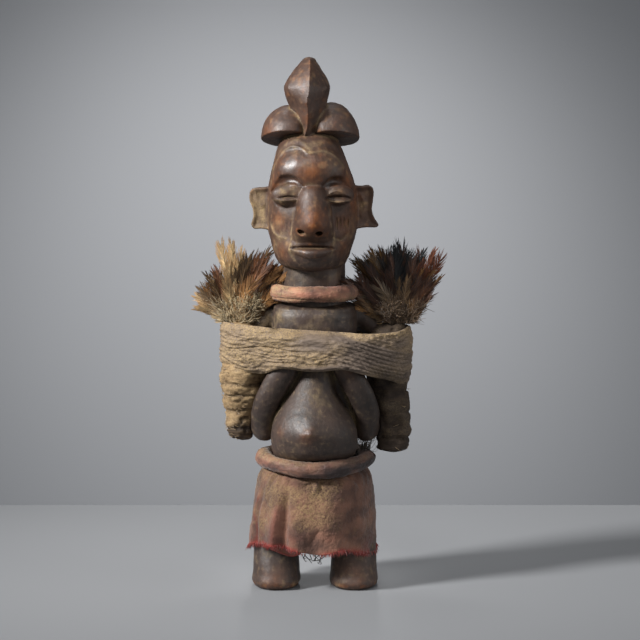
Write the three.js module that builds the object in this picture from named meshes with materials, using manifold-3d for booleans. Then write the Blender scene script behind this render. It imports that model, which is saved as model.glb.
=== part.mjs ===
// A carved wooden power figure, standing on two stub legs, dressed with cloth rings, a wound chest
// band, two wrapped charm bundles, feather tufts and a short skirt.
//
// Millimetres. X runs to the viewer's right, -Y is the front, +Z is up. The origin is on the ground,
// midway between the feet. Every form is a closed three.js geometry whose points are moved to its
// stations; manifold-3d joins the forms of one piece and cuts its hollows.

import * as THREE from "three";
import { mergeVertices } from "three/addons/utils/BufferGeometryUtils.js";
import Module from "manifold-3d";

const wasm = await Module();
wasm.setup();

// Driving dimensions
const GAP = 0.35; // room between pieces that touch
const LEG_SPREAD = 24; // middle of each foot from the middle of the figure
const NECK = { x: -0.9, y: 4, radius: 19.5 };
const HEAD_X = -1.3;
const CREST_X = -3.4;
const EYE = { spread: 15.7, y: -21.5, z: 243.7, radius: 8.1 };
const MOUTH = { x: -1.6, y: -28.6, z: 212.4, half: 12.9 };
const EAR = { spread: 28, x: -1.2, y: 3, z: 234, thick: 3.6, bevel: 1, turn: 16 };
const COLLAR = { z: 182.8, radius: 23.8, thick: 4, tall: 5.2 };
const BELT = { x: 0.4, y: 1, z: 79.4, wide: 31.7, deep: 31, tube: 4.9, sag: 2.6 };
const BAND = { x: 0.4, wide: 59.6, deep: 30, wall: 2.6, cords: 4 };
const SKIRT = { y: 1, wall: 1.4 };
const TUFT = { blades: 10, thin: 0.8, broad: 5.4, bow: 2.4, depth: 8, spread: 10 };
TUFT.down = [
  [0, 8.4, 5.4],
  [6, 9.8, 6.6],
  [13, 13.4, 7.6],
  [20, 16, 8],
  [27, 13.6, 7],
  [33, 8.4, 4.6],
];
const TAU = 2 * Math.PI;

// Smooth values between stations, each of which is [place, value, value, ...].
function between(stations) {
  const size = stations[0].length - 1;
  const places = stations.map((station) => station[0]);
  const values = stations.flatMap((station) => station.slice(1));
  const spline = new THREE.CubicInterpolant(places, values, size, new Float32Array(size));
  return (place) => Array.from(spline.evaluate(place));
}

// The same round a full turn, with places in turns from 0 to 1.
function around(stations) {
  const before = stations.slice(-2).map(([place, ...values]) => [place - 1, ...values]);
  const after = stations.slice(0, 2).map(([place, ...values]) => [place + 1, ...values]);
  return between([...before, ...stations, ...after]);
}

// A point of the unit circle moved onto a squarer or more pointed outline; power 2 is round.
function squared(u, v, power) {
  const bend = (value) => Math.sign(value) * Math.abs(value) ** (2 / power);
  return [bend(u), bend(v)];
}

function movePoints(geometry, move) {
  const points = geometry.getAttribute("position");
  const point = new THREE.Vector3();
  for (let i = 0; i < points.count; i++) {
    point.fromBufferAttribute(points, i);
    points.setXYZ(i, ...move(point, i));
  }
  return geometry;
}

// A form with level sections. A station is [height, middle x, half width, front y, back y]. Crowded
// sections lie closer together towards both ends.
function levels(stations, { round = 18, steps = 6, power = 2, crowded = false } = {}) {
  const at = between(stations);
  const low = stations[0][0];
  const high = stations.at(-1)[0];
  const drum = new THREE.CylinderGeometry(1, 1, 1, round, steps);
  return movePoints(drum, (point) => {
    const share = crowded ? (1 + Math.sin(Math.PI * point.y)) / 2 : point.y + 0.5;
    const height = THREE.MathUtils.lerp(low, high, share);
    const [x, half, front, back] = at(height);
    const [across, fore] = squared(point.x, point.z, power);
    return [x + half * across, (front + back) / 2 + ((front - back) / 2) * fore, height];
  });
}

// A form along a spline through points. A size is [half across, half through], from start to end.
function limb(points, sizes, { across = [1, 0, 0], round = 8, steps = 5, grow = 0 } = {}) {
  const curve = new THREE.CatmullRomCurve3(points.map((point) => new THREE.Vector3(...point)));
  const size = between(sizes.map((pair, i) => [i / (sizes.length - 1), ...pair]));
  const drum = new THREE.CylinderGeometry(1, 1, 1, round, steps);
  return movePoints(drum, (point) => {
    const share = THREE.MathUtils.clamp(point.y + 0.5, 0, 1);
    const tangent = curve.getTangent(share);
    const side = new THREE.Vector3(...across).projectOnPlane(tangent).normalize();
    const front = side.clone().cross(tangent);
    const [wide, deep] = size(share);
    const overrun = grow * Math.sign(Math.round(2 * point.y));
    return curve
      .getPoint(share)
      .addScaledVector(tangent, overrun)
      .addScaledVector(side, point.x * (wide + grow))
      .addScaledVector(front, point.z * (deep + grow))
      .toArray();
  });
}

function blob([x, y, z], [rx, ry, rz], round = 10) {
  const ball = new THREE.SphereGeometry(1, round, Math.ceil(round * 0.6));
  return ball.scale(rx, rz, ry).rotateX(Math.PI / 2).translate(x, y, z);
}

// A closed ring. place(turn, lap) gives its points: turn is once round the ring, from +X towards
// the back, and lap is once round its wall, from outside over the top.
function hoop(place, turns, laps) {
  const ring = new THREE.TorusGeometry(2, 1, laps, turns);
  const uv = ring.getAttribute("uv");
  return movePoints(ring, (point, i) => place(uv.getX(i) % 1, uv.getY(i) % 1));
}

function solid(geometry) {
  const bare = geometry.clone();
  bare.deleteAttribute("normal");
  bare.deleteAttribute("uv");
  const merged = mergeVertices(bare, 1e-3);
  const mesh = new wasm.Mesh({
    numProp: 3,
    vertProperties: merged.getAttribute("position").array,
    triVerts: new Uint32Array(merged.index.array),
  });
  return new wasm.Manifold(mesh);
}

const join = (geometries) => geometries.map(solid).reduce((whole, next) => whole.add(next));
const cut = (whole, geometries) => geometries.reduce((rest, next) => rest.subtract(solid(next)), whole);

function geometryOf(manifold) {
  const { vertProperties, triVerts } = manifold.getMesh();
  return new THREE.BufferGeometry()
    .setAttribute("position", new THREE.BufferAttribute(vertProperties, 3))
    .setIndex(new THREE.BufferAttribute(triVerts, 1));
}

function piece(name, manifold, color, roughness) {
  const material = new THREE.MeshStandardMaterial({ color, roughness, metalness: 0 });
  const geometry = geometryOf(manifold).toNonIndexed();
  geometry.computeVertexNormals();
  const mesh = new THREE.Mesh(geometry, material);
  mesh.name = name;
  return mesh;
}

const bothSides = (make) => [-1, 1].flatMap(make);

// Legs, hips and trunk
const leg = (side) =>
  levels(
    [
      [0, side * LEG_SPREAD, 13, -20.6, 16.4],
      [1.4, side * LEG_SPREAD, 14.1, -22.4, 18],
      [10, side * LEG_SPREAD, 14.3, -22, 18],
      [22, side * LEG_SPREAD, 13.8, -17.6, 17.4],
      [34, side * LEG_SPREAD * 0.98, 13.4, -14.6, 18],
      [52, side * LEG_SPREAD * 0.8, 13, -14, 20],
    ],
    { round: 14, steps: 4, power: 2.3 },
  );

const hips = levels(
  [
    [33, 0, 22, -8, 12],
    [38, 0, 33.5, -13.5, 20],
    [50, 0, 35.5, -16, 24],
    [60, 0, 31, -17, 24],
    [67, 0, 25, -17, 20],
    [80, 0, 23.5, -16, 19],
  ],
  { round: 16, steps: 4, power: 2.3 },
);

const trunk = levels(
  [
    [66, 0, 23.4, -14, 19],
    [84, 0, 23.6, -15, 19.6],
    [97, 0, 26.2, -16, 20.4],
    [125, 0, 26.4, -15, 21],
    [150, -0.2, 25.4, -18, 23],
    [165, -0.3, 25.8, -20, 23.6],
    [171.5, -0.4, 24.8, -19, 22.6],
    [174.6, -0.5, 22.6, -16, 20.5],
    [175.7, -0.6, 18, -12, 16],
  ],
  { round: 16, power: 2.6 },
);

const belly = levels(
  [
    [68, -0.5, 14, -14, 2],
    [74, -0.5, 18.4, -20, 4],
    [78, -0.5, 20.8, -23.4, 6],
    [80.4, -0.5, 21.2, -25.2, 7],
    [82.4, -0.5, 24, -29.4, 8],
    [86, -0.4, 25.6, -33.4, 8],
    [92, -0.4, 26.4, -36.4, 8],
    [99, -0.6, 26, -37.6, 8],
    [106, -1, 23.8, -35.4, 8],
    [113, -1.4, 19.8, -31, 6],
    [121, -1.2, 15.2, -26.6, 4],
    [132, 0.4, 11.6, -23.4, 2],
    [142, 0, 9.8, -21, 0],
  ],
  { round: 16, steps: 12, power: 1.9 },
);
const navel = blob([-2.8, -34.4, 100.6], [7, 4.6, 6], 8);

// Arms: the upper arm hangs behind the bundle, the elbow bends forward, the hand is under the band.
function arm(side, grow = 0) {
  const place = (x, y, z) => [side * x + 0.3, y, z];
  const shoulder = limb(
    [place(12, 6, 168), place(28, 7, 166), place(37, 8, 157), place(39.5, 8.5, 140)],
    [[7, 9], [7.4, 8], [6.6, 7], [6.4, 6.4]],
    { across: [0, 0, 1], grow },
  );
  const upper = limb(
    [place(38.8, 8.5, 150), place(39, 8.5, 128), place(33, 5, 99)],
    [[6.4, 6.4], [6.4, 6.6], [7, 7]],
    { grow, steps: 3 },
  );
  const elbow = blob(place(31.4, -0.5, 99.6), [8.4 + grow, 8.4 + grow, 9.6 + grow], 8);
  const fore = limb(
    [
      place(31.5, -3, 97),
      place(32, -9, 107),
      place(28.2, -14.6, 120),
      place(20, -18, 135),
      place(12.4, -18.6, 151),
    ],
    [[6.8, 6.6], [7.6, 6.2], [7.8, 5.8], [7.8, 5.6], [7.8, 5.4]],
    { grow, steps: 6 },
  );
  return [shoulder, upper, elbow, fore];
}

const neck = levels(
  [
    [168, NECK.x, NECK.radius, NECK.y - NECK.radius, NECK.y + NECK.radius],
    [208, NECK.x, NECK.radius, NECK.y - NECK.radius, NECK.y + NECK.radius],
  ],
  { round: 16, steps: 1 },
);

// Head: skull, forehead, eyes in their sockets, nose, mouth, ears
const skull = levels(
  [
    [197.6, -1.2, 14, -14, 18],
    [199, -1.4, 18, -21, 23],
    [203, -1.6, 21.8, -24.4, 27.4],
    [208, -1.6, 23.8, -25.6, 30.6],
    [214, -1.6, 25.6, -25.8, 33.6],
    [221, -1.5, 27.3, -25.6, 36],
    [233, -1.5, 27.9, -25.6, 37.8],
    [245, -1.7, 27, -25.6, 38],
    [255, -2.3, 24.6, -25, 36],
    [263, -2.8, 22.2, -23.4, 33],
    [270, -3.3, 19.8, -20.4, 29],
    [276, CREST_X, 17, -17, 25],
    [280, CREST_X, 13, -12, 21],
  ],
  { round: 18, steps: 11, power: 2.25 },
);

const eyeAt = (side, dx, dy, dz) => [HEAD_X + side * (EYE.spread + dx), EYE.y + dy, EYE.z + dz];
const forehead = blob([HEAD_X - 1, -14.4, 257.4], [20.6, 12.6, 14], 12);
const sockets = bothSides((side) => [blob(eyeAt(side, 0.2, -6.4, 2.2), [10, 8.6, 10.2], 10)]);
const eyeballs = bothSides((side) => [blob(eyeAt(side, 0, 0, 0), [EYE.radius, 7, EYE.radius], 10)]);
const eyeSlits = bothSides((side) => [blob(eyeAt(side, 0, -6.4, 0), [7, 2.8, 0.8], 8)]);
const lids = bothSides((side) =>
  [1.6, -1.6].map((rise) =>
    limb(
      [eyeAt(side, -7.4, -1.6, rise), eyeAt(side, 0, -6.6, rise), eyeAt(side, 7.4, -1.6, rise)],
      [[0.6, 0.6], [0.8, 1], [0.6, 0.6]],
      { across: [0, 0, 1], round: 4, steps: 5 },
    ),
  ),
);

const nose = levels(
  [
    [218.6, -1.2, 8.4, -30, -16],
    [220, -1.2, 10.6, -34.4, -16],
    [223, -1.2, 11.2, -38.4, -16],
    [227.6, -1.2, 11, -39.9, -16],
    [233, -1.3, 10.4, -38, -16],
    [240, -1.6, 9, -33.6, -16],
    [246, -2, 7, -30, -16],
    [250, -2.6, 4.6, -27.6, -16],
    [252.4, -2.8, 3, -25, -16],
  ],
  { round: 12, steps: 8, power: 2.2 },
);
const nostrils = bothSides((side) => [blob([-2.4 + side * 5.7, -37.6, 222.4], [2.7, 3.6, 2.4], 8)]);

const muzzle = blob([MOUTH.x, -18.6, 210.4], [16.4, 10.8, 10.4], 12);
const lip = (rise, half, thick) =>
  limb(
    [
      [MOUTH.x - half, MOUTH.y + 4.6, MOUTH.z + rise * 0.2],
      [MOUTH.x, MOUTH.y - 0.4, MOUTH.z + rise],
      [MOUTH.x + half, MOUTH.y + 4.6, MOUTH.z + rise * 0.2],
    ],
    [[0.7, 0.7], [thick, thick], [0.7, 0.7]],
    { across: [0, 0, 1], round: 6, steps: 6 },
  );
const lips = [lip(1.8, MOUTH.half, 1.5), lip(-2.8, MOUTH.half, 2.6)];
const mouthSlit = blob([MOUTH.x, MOUTH.y - 0.8, MOUTH.z], [MOUTH.half - 1.4, 3.4, 0.6]);

const cheekCuts = bothSides((side) =>
  [15.6, 18.2, 20.8].map((across) =>
    new THREE.BoxGeometry(0.9, 4, 12)
      .rotateZ(side * 0.5)
      .translate(HEAD_X + side * across, -26.4 + (across - 15.6) * 0.52, 226),
  ),
);

// The raised line that frames the forehead and runs down both temples.
const hairline = limb(
  [
    [-28.4, -8, 232],
    [-26.6, -12.6, 247],
    [-22.8, -16, 262],
    [-17, -18.4, 270.4],
    [-11, -19.6, 273.8],
    [-3.6, -22.4, 269],
    [4.6, -21.6, 270.4],
    [11.4, -19.8, 267.6],
    [17.4, -16.4, 260],
    [22.8, -12.8, 247],
    [25.2, -8, 232],
  ],
  [[0.8, 0.8], [1.4, 1.4], [1.5, 1.5], [1.4, 1.4], [0.8, 0.8]],
  { across: [0, 1, 0], round: 4, steps: 16 },
);

// An ear is a hollowed plate. Its rim gives how far top, waist and lobe stand out, and its ends.
const EARS = [
  { side: -1, top: 10.6, waist: 8.4, low: 9.2, high: 12.6, bottom: -13 },
  { side: 1, top: 8.6, waist: 7.6, low: 10.6, high: 14, bottom: -11.4 },
];
function ear({ side, top, waist, low, high, bottom }) {
  const rim = [
    [3, high],
    [top - 1.4, high - 1.2],
    [top, high - 6],
    [waist, 0],
    [low - 0.4, bottom + 6],
    [low, bottom + 1.6],
    [4, bottom],
    [-5, bottom + 2],
  ];
  const outline = new THREE.Shape()
    .moveTo(-5, high - 1.6)
    .splineThru(rim.map((corner) => new THREE.Vector2(...corner)))
    .closePath();
  const plate = new THREE.ExtrudeGeometry(outline, {
    depth: EAR.thick,
    bevelThickness: EAR.bevel,
    bevelSize: EAR.bevel,
    bevelOffset: -EAR.bevel,
    bevelSegments: 1,
    curveSegments: 1,
  });
  const face = EAR.thick + 2 * EAR.bevel;
  const hollows = [blob([4, high / 2, face], [3.4, 5, 2.4], 8), blob([4.4, bottom / 2, face], [3, 4, 2], 8)];
  const flat = cut(solid(plate), hollows);
  const turned = side < 0 ? flat.mirror([1, 0, 0]) : flat;
  return turned.rotate([90, 0, side * EAR.turn]).translate([EAR.x + side * EAR.spread, EAR.y, EAR.z]);
}

// Headdress: a ridged spearhead over a thick stem, between two domed side lobes cut off aslant.
const spearhead = levels(
  [
    [285.4, -6, 1.4, -16.6, 8],
    [289.6, -5.8, 4.6, -17.4, 16],
    [297.4, -5.2, 9.6, -17.8, 23],
    [307.4, -4.7, 13.8, -17, 24],
    [315, -4.7, 10.2, -12.6, 18],
    [321, -4.7, 6, -6.4, 10.4],
    [324.4, -4.7, 3.2, -2.4, 6.2],
    [325.6, -4.7, 1.4, 0.4, 3.6],
  ],
  { round: 12, steps: 7, power: 1.3 },
);
const stem = levels(
  [
    [268, CREST_X, 7.4, -14, 28],
    [278, CREST_X, 7, -15.4, 30],
    [283, -3.3, 7.8, -16, 30],
    [291, -3.9, 10.8, -15.8, 29],
    [300, -4.5, 13, -13, 26],
    [307, -4.7, 13.8, -9, 23],
  ],
  { round: 12, steps: 4, power: 1.6 },
);
const UNDER_LOBES = { y: -17, z: 282.4, slope: -0.3 };
const stemGroove = new THREE.BoxGeometry(22, 22, 60).rotateZ(Math.PI / 4).translate(CREST_X, -21.4, 300);
function lobe(side, spread, [wide, deep, tall]) {
  const dome = solid(blob([CREST_X + side * spread, 4, 275.4], [wide, deep, tall], 13));
  const below = new THREE.BoxGeometry(60, 70, 40)
    .translate(0, 25, -20)
    .rotateX(UNDER_LOBES.slope)
    .translate(CREST_X + side * 20, UNDER_LOBES.y, UNDER_LOBES.z);
  return dome.subtract(solid(below)).subtract(solid(stemGroove));
}

function carvedFigure() {
  const body = join([leg(-1), leg(1), hips, trunk, belly, navel, neck, ...arm(-1), ...arm(1)]);
  const head = cut(join([skull, forehead]), sockets);
  const face = cut(head.add(join([nose, muzzle, ...eyeballs, ...lids, ...lips])), [
    ...eyeSlits,
    ...nostrils,
    mouthSlit,
    ...cheekCuts,
  ]);
  const lobes = [lobe(-1, 12.4, [17.2, 21.6, 21.4]), lobe(1, 13, [17.6, 21.6, 23])];
  const parts = [face, solid(hairline), join([spearhead, stem]), ...lobes, ...EARS.map(ear)];
  return parts.reduce((whole, next) => whole.add(next), body);
}

// The cloth ring at the neck and the thicker one at the waist, whose front sags under the belly.
const collar = hoop(
  (turn, lap) => {
    const reach = COLLAR.radius + COLLAR.thick * Math.cos(TAU * lap);
    const x = NECK.x + reach * Math.cos(TAU * turn);
    const y = NECK.y + reach * Math.sin(TAU * turn);
    return [x, y, COLLAR.z + COLLAR.tall * Math.sin(TAU * lap)];
  },
  18,
  7,
);

const beltHeight = (turn) => BELT.z - BELT.sag * Math.max(0, -Math.sin(TAU * turn)) ** 2;
const belt = hoop(
  (turn, lap) => {
    const out = BELT.tube * Math.cos(TAU * lap);
    const x = BELT.x + (BELT.wide + out) * Math.cos(TAU * turn);
    const y = BELT.y + (BELT.deep + out) * Math.sin(TAU * turn);
    return [x, y, beltHeight(turn) + BELT.tube * Math.sin(TAU * lap)];
  },
  22,
  7,
);

// The wound band: its lower and upper edge round the turn, and cord ridges across its face.
const bandEdges = around([
  [0, 127.5, 160.5],
  [0.12, 133, 161],
  [0.25, 136, 162],
  [0.38, 139, 163],
  [0.5, 143.6, 163.4],
  [0.62, 140, 162.4],
  [0.75, 138, 162.6],
  [0.88, 131.5, 160.6],
]);
const band = hoop(
  (turn, lap) => {
    const [low, high] = bandEdges(turn);
    const [across, through] = squared(Math.cos(TAU * turn), Math.sin(TAU * turn), 2.5);
    const [out, up] = squared(Math.cos(TAU * lap), Math.sin(TAU * lap), 3);
    const cord = out > 0 ? 0.5 * Math.cos(Math.PI * BAND.cords * up) : 0;
    const wall = (BAND.wall / 2) * (out - 1) + cord;
    const x = BAND.x + (BAND.wide + wall) * across;
    return [x, (BAND.deep + wall) * through, (low + high) / 2 + (up * (high - low)) / 2];
  },
  26,
  10,
);

// Wrapped bundles, held by the band against the upper arms, which they are cut round.
const leftBundle = levels(
  [
    [90.6, -45.2, 4.6, 0, 8],
    [92, -45.4, 6.6, -3, 11],
    [95, -45.6, 7.4, -4.4, 12.4],
    [99.6, -46.4, 8.2, -5, 13],
    [106, -46, 8, -4.8, 13],
    [112, -45, 10.8, -6.4, 14],
    [118, -44.4, 12.8, -7.4, 15],
    [129, -43.6, 14.6, -8.6, 15.6],
    [138, -43, 14.4, -8.6, 15],
    [144, -43.8, 11.6, -7.8, 14],
    [158, -45, 10.4, -7.4, 14],
    [163.4, -46, 9.4, -5.6, 12.4],
  ],
  { round: 12, steps: 10, crowded: true },
);
const rightBundle = levels(
  [
    [81.6, 47.4, 5.4, -0.6, 9],
    [83, 47.8, 8, -4, 12],
    [87.6, 48, 9, -5.4, 13.4],
    [97, 48.6, 9.6, -6, 14],
    [106, 48, 11, -6.6, 14.4],
    [112, 46.6, 12, -7.4, 15],
    [119, 45.4, 12.8, -8.2, 15.6],
    [126, 44, 12.4, -8.2, 15],
    [133, 43.4, 11.8, -8, 14.6],
    [141, 43.6, 11.6, -7.8, 14.4],
    [158, 45.2, 10.6, -7.4, 14],
    [163, 46.8, 9.4, -5.6, 12.4],
  ],
  { round: 12, steps: 10, crowded: true },
);
const bundle = (side, form) => cut(solid(form), arm(side, GAP));

// Feather tufts: a dense foot of down with a fan of curved blades. A fan station is [lean from
// upright in degrees, length].
const leftFan = between([[-44, 28], [-32, 25], [-25, 26], [-17, 33], [-4, 46], [13, 45], [34, 38]]);
const rightFan = between([[-45, 30], [-37, 38], [-24, 48], [-6, 46], [6, 47], [24, 47], [29, 41], [46, 22]]);

function tuft([x, y, z], lean, fan, from, to) {
  const down = levels(
    TUFT.down.map(([rise, half, thick]) => [z + rise, x + lean * rise, half, y - thick, y + thick]),
    { round: 10, steps: 5 },
  );
  const blades = Array.from({ length: TUFT.blades }, (unused, i) => {
    const lean = THREE.MathUtils.lerp(from, to, i / (TUFT.blades - 1));
    const [reach] = fan(lean);
    const angle = THREE.MathUtils.degToRad(lean);
    const back = TUFT.depth * Math.sin(2.4 * i);
    const start = new THREE.Vector3(x + TUFT.spread * Math.sin(angle), y, z + 3);
    const tip = start.clone().add(new THREE.Vector3(reach * Math.sin(angle), back, reach * Math.cos(angle)));
    const bulge = TUFT.bow * Math.sin(1.9 * i);
    const middle = start.clone().lerp(tip, 0.55);
    middle.x += bulge * Math.cos(angle);
    middle.z -= bulge * Math.sin(angle);
    const broad = TUFT.broad * (0.8 + 0.2 * Math.sin(1.7 * i));
    return limb(
      [start, middle, tip].map((point) => point.toArray()),
      [[1.2, 1], [broad, TUFT.thin], [broad, TUFT.thin], [0.8, 0.5]],
      { across: [Math.cos(angle), 0.3 * Math.sin(i), -Math.sin(angle)], round: 4, steps: 3 },
    );
  });
  return join([down, ...blades]);
}

// Skirt: one wall of cloth, drawn in under the waist ring and open below.
const skirtShape = between([
  [0, -0.9, 40, 35.8],
  [0.25, -0.5, 39.6, 35],
  [0.5, -0.2, 38.6, 34.2],
  [0.75, 0.1, 36.8, 33],
  [0.9, 0.3, 34.8, 31.8],
  [0.96, 0.4, 32.8, 30.6],
  [1, 0.4, 29.6, 27.8],
]);
const skirtHem = around([
  [0, 21.6],
  [0.15, 25],
  [0.3, 22.6],
  [0.42, 25],
  [0.5, 24],
  [0.58, 28.6],
  [0.66, 29.4],
  [0.71, 27],
  [0.76, 24.6],
  [0.82, 26.4],
  [0.9, 23],
]);
const FOLDS = [
  { turn: 0.6, width: 0.035, out: 3.4 },
  { turn: 0.66, width: 0.02, out: -2.6 },
  { turn: 0.54, width: 0.02, out: 1.8 },
  { turn: 0.2, width: 0.04, out: 2.2 },
  { turn: 0.34, width: 0.04, out: 2.2 },
  { turn: 0.9, width: 0.05, out: 1 },
];
const skirt = hoop(
  (turn, lap) => {
    const outside = lap < 0.5;
    const rise = outside ? 2 * lap : 2 - 2 * lap;
    const [x, wide, deep] = skirtShape(rise);
    const fold = FOLDS.reduce(
      (sum, { turn: middle, width, out }) => sum + out * Math.exp(-(((turn - middle) / width) ** 2)),
      0,
    );
    const inset = outside ? 0 : SKIRT.wall * Math.min(1, 6 * rise, 6 * (1 - rise));
    const out = fold * (1 - rise) ** 1.4 - inset;
    const hem = skirtHem(turn)[0];
    const under = beltHeight(turn) - BELT.tube - GAP;
    const drop = outside || rise === 1 ? 0 : SKIRT.wall * rise;
    const z = THREE.MathUtils.lerp(hem, under, rise) - drop;
    return [x + (wide + out) * Math.cos(TAU * turn), SKIRT.y + (deep + out) * Math.sin(TAU * turn), z];
  },
  30,
  10,
);

const group = new THREE.Group();
group.add(
  piece("figure", carvedFigure(), 0x3e2c22, 0.45),
  piece("neck_ring", solid(collar), 0x8a5a4a, 0.7),
  piece("chest_band", solid(band), 0x5e5042, 0.75),
  piece("left_bundle", bundle(-1, leftBundle), 0x7a6548, 0.9),
  piece("right_bundle", bundle(1, rightBundle), 0x4a3c2e, 0.9),
  piece("left_feathers", tuft([-49, 4, 163.8], 0.1, leftFan, -44, 31), 0x8a6c44, 0.8),
  piece("right_feathers", tuft([52.8, 4.8, 163.4], 0, rightFan, -39, 45), 0x33261c, 0.75),
  piece("waist_ring", solid(belt), 0x8c6250, 0.75),
  piece("skirt", solid(skirt), 0x80604e, 0.9),
);

export default group;
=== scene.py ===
"""A carved power figure with its cloth rings, wound band, charm bundles, feather tufts and skirt."""

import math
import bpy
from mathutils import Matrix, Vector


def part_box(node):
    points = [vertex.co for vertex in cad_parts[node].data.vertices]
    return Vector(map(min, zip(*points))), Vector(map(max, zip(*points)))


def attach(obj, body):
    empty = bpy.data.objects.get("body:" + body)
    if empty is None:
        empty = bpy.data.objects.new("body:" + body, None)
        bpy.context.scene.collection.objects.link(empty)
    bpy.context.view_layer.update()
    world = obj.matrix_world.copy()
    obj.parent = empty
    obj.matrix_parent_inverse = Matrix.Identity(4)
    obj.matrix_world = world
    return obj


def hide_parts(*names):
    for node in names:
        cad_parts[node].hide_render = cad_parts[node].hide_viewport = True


bl_info = {
    "name": "Power Figure",
    "version": (1, 0, 0),
    "blender": (4, 5, 0),
    "location": "View3D > Sidebar > Power Figure",
    "description": "Dresses a carved power figure with patina, fibre, feathers and cloth",
    "category": "Add Mesh",
}

import bpy
import numpy as np
from mathutils import Vector

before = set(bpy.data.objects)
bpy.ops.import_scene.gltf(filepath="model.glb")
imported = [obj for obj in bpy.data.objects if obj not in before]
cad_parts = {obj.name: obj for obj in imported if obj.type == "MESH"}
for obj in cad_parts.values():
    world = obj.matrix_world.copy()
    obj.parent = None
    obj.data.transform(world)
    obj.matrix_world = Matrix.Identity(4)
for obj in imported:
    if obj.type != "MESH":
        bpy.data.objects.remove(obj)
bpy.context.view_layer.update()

MM = 0.001
TAU = 2 * math.pi
BODY = "root"

# The carving's own measures, in millimetres, as the solids have them
LEG_SPREAD = 24
NECK_X, NECK_Y, NECK_RADIUS = -0.9, 4, 19.5
HEAD_X = -1.3
CREST_X = -3.4
EYE_SPREAD, EYE_Y, EYE_Z = 15.7, -20.6, 243.7
MOUTH_X, MOUTH_Y, MOUTH_Z, MOUTH_HALF = -1.6, -28.6, 212.4, 12.9
EAR_X, EAR_Y, EAR_Z = -1.2, 3, 234
EAR_SPREAD = 28
WAIST_X, WAIST_Y = 0.4, 1
WAIST_HIGH, WAIST_TUBE = 79.4, 4.9
ARM_ROOM = 0.4
FAR = 60.0
SIDES = (-1, 1)
# Streaks across the feathers
STREAK = "#2a1f14"
# The long filament of the left tuft
FILAMENT = "#b9c4bc"


# Colour


def linear(code):
    """An sRGB hex colour as linear red, green and blue."""
    parts = [int(code[i : i + 2], 16) / 255 for i in (1, 3, 5)]
    return tuple(c / 12.92 if c <= 0.04045 else ((c + 0.055) / 1.055) ** 2.4 for c in parts)


def rgba(code):
    """The same with full cover, as a colour socket takes it."""
    return (*linear(code), 1.0)


# Smooth values and noise


def between(stations):
    """Smooth values between stations, each of which is [place, value, value, ...]."""
    table = np.array(stations, float)
    places, values = table[:, 0], table[:, 1:]
    slopes = np.gradient(values, places, axis=0)
    fine = np.linspace(places[0], places[-1], 300)
    i = np.clip(np.searchsorted(places, fine, side="right") - 1, 0, len(places) - 2)
    step = (places[i + 1] - places[i])[:, None]
    t = (fine - places[i])[:, None] / step
    rows = (1 + 2 * t) * (1 - t) ** 2 * values[i] + t * (1 - t) ** 2 * step * slopes[i]
    rows += t**2 * (3 - 2 * t) * values[i + 1] + t**2 * (t - 1) * step * slopes[i + 1]
    return lambda place: np.stack([np.interp(place, fine, row) for row in rows.T], -1)


def around(stations):
    """The same round a full turn, with places in turns from 0 to 1."""
    before = [[place - 1, *values] for place, *values in stations[-2:]]
    after = [[place + 1, *values] for place, *values in stations[:2]]
    return between([*before, *stations, *after])


def lattice(cells, seed):
    """A repeatable number from -1 to 1 for each whole-number cell."""
    x, y, z = (cells[..., k].astype(np.int64) for k in range(3))
    h = (x * 374761393 + y * 668265263 + z * 1274126177 + seed * 974634777) & 0xFFFFFFFF
    h = ((h ^ (h >> 13)) * 1103515245) & 0xFFFFFFFF
    h = ((h ^ (h >> 16)) * 2246822519) & 0xFFFFFFFF
    return (h & 0xFFFF) / 32767.5 - 1


def noise(points, size, octaves=1, seed=0):
    """Smooth noise from about -1 to 1, with lumps of the given size in millimetres, one or per axis."""
    total, weight = np.zeros(len(points)), 1.0
    for octave in range(octaves):
        place = np.asarray(points) / size * 2**octave
        cell = np.floor(place)
        t = place - cell
        t = t * t * t * (t * (6 * t - 15) + 10)
        value = np.zeros(len(points))
        for corner in np.ndindex(2, 2, 2):
            share = np.prod(np.where(corner, t, 1 - t), axis=1)
            value += share * lattice(cell + corner, seed + octave)
        total += weight * value
        weight *= 0.5
    return total


def smooth_step(low, high, value):
    """From 0 at low to 1 at high, which may be the lower of the two."""
    t = np.clip((value - low) / (high - low), 0, 1)
    return t * t * (3 - 2 * t)


def bump_at(value, middle, width):
    """1 at the middle, and near 0 beyond twice the width."""
    return np.exp(-(((value - middle) / width) ** 2))


# Closed forms, measured by how far outside them a point is


class Form:
    """away(points) is about how far outside the form each point is, in mm; low and high hold it."""

    def __init__(self, away, low, high):
        self.away, self.low, self.high = away, np.array(low, float), np.array(high, float)


def soft_min(a, b, soft):
    """The lesser of two, rounded over where they are within soft of each other."""
    if soft <= 0:
        return np.minimum(a, b)
    h = np.clip(soft - np.abs(a - b), 0, None) / soft
    return np.minimum(a, b) - h * h * soft / 4


def soft_max(a, b, soft):
    return -soft_min(-a, -b, soft)


def blob(center, radii):
    """An ellipsoid."""
    center, radii = np.array(center, float), np.array(radii, float)

    def away(points):
        offset = points - center
        share = np.linalg.norm(offset / radii, axis=1) + 1e-6
        return (share - 1) * np.linalg.norm(offset, axis=1) / share

    return Form(away, center - radii, center + radii)


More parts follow.
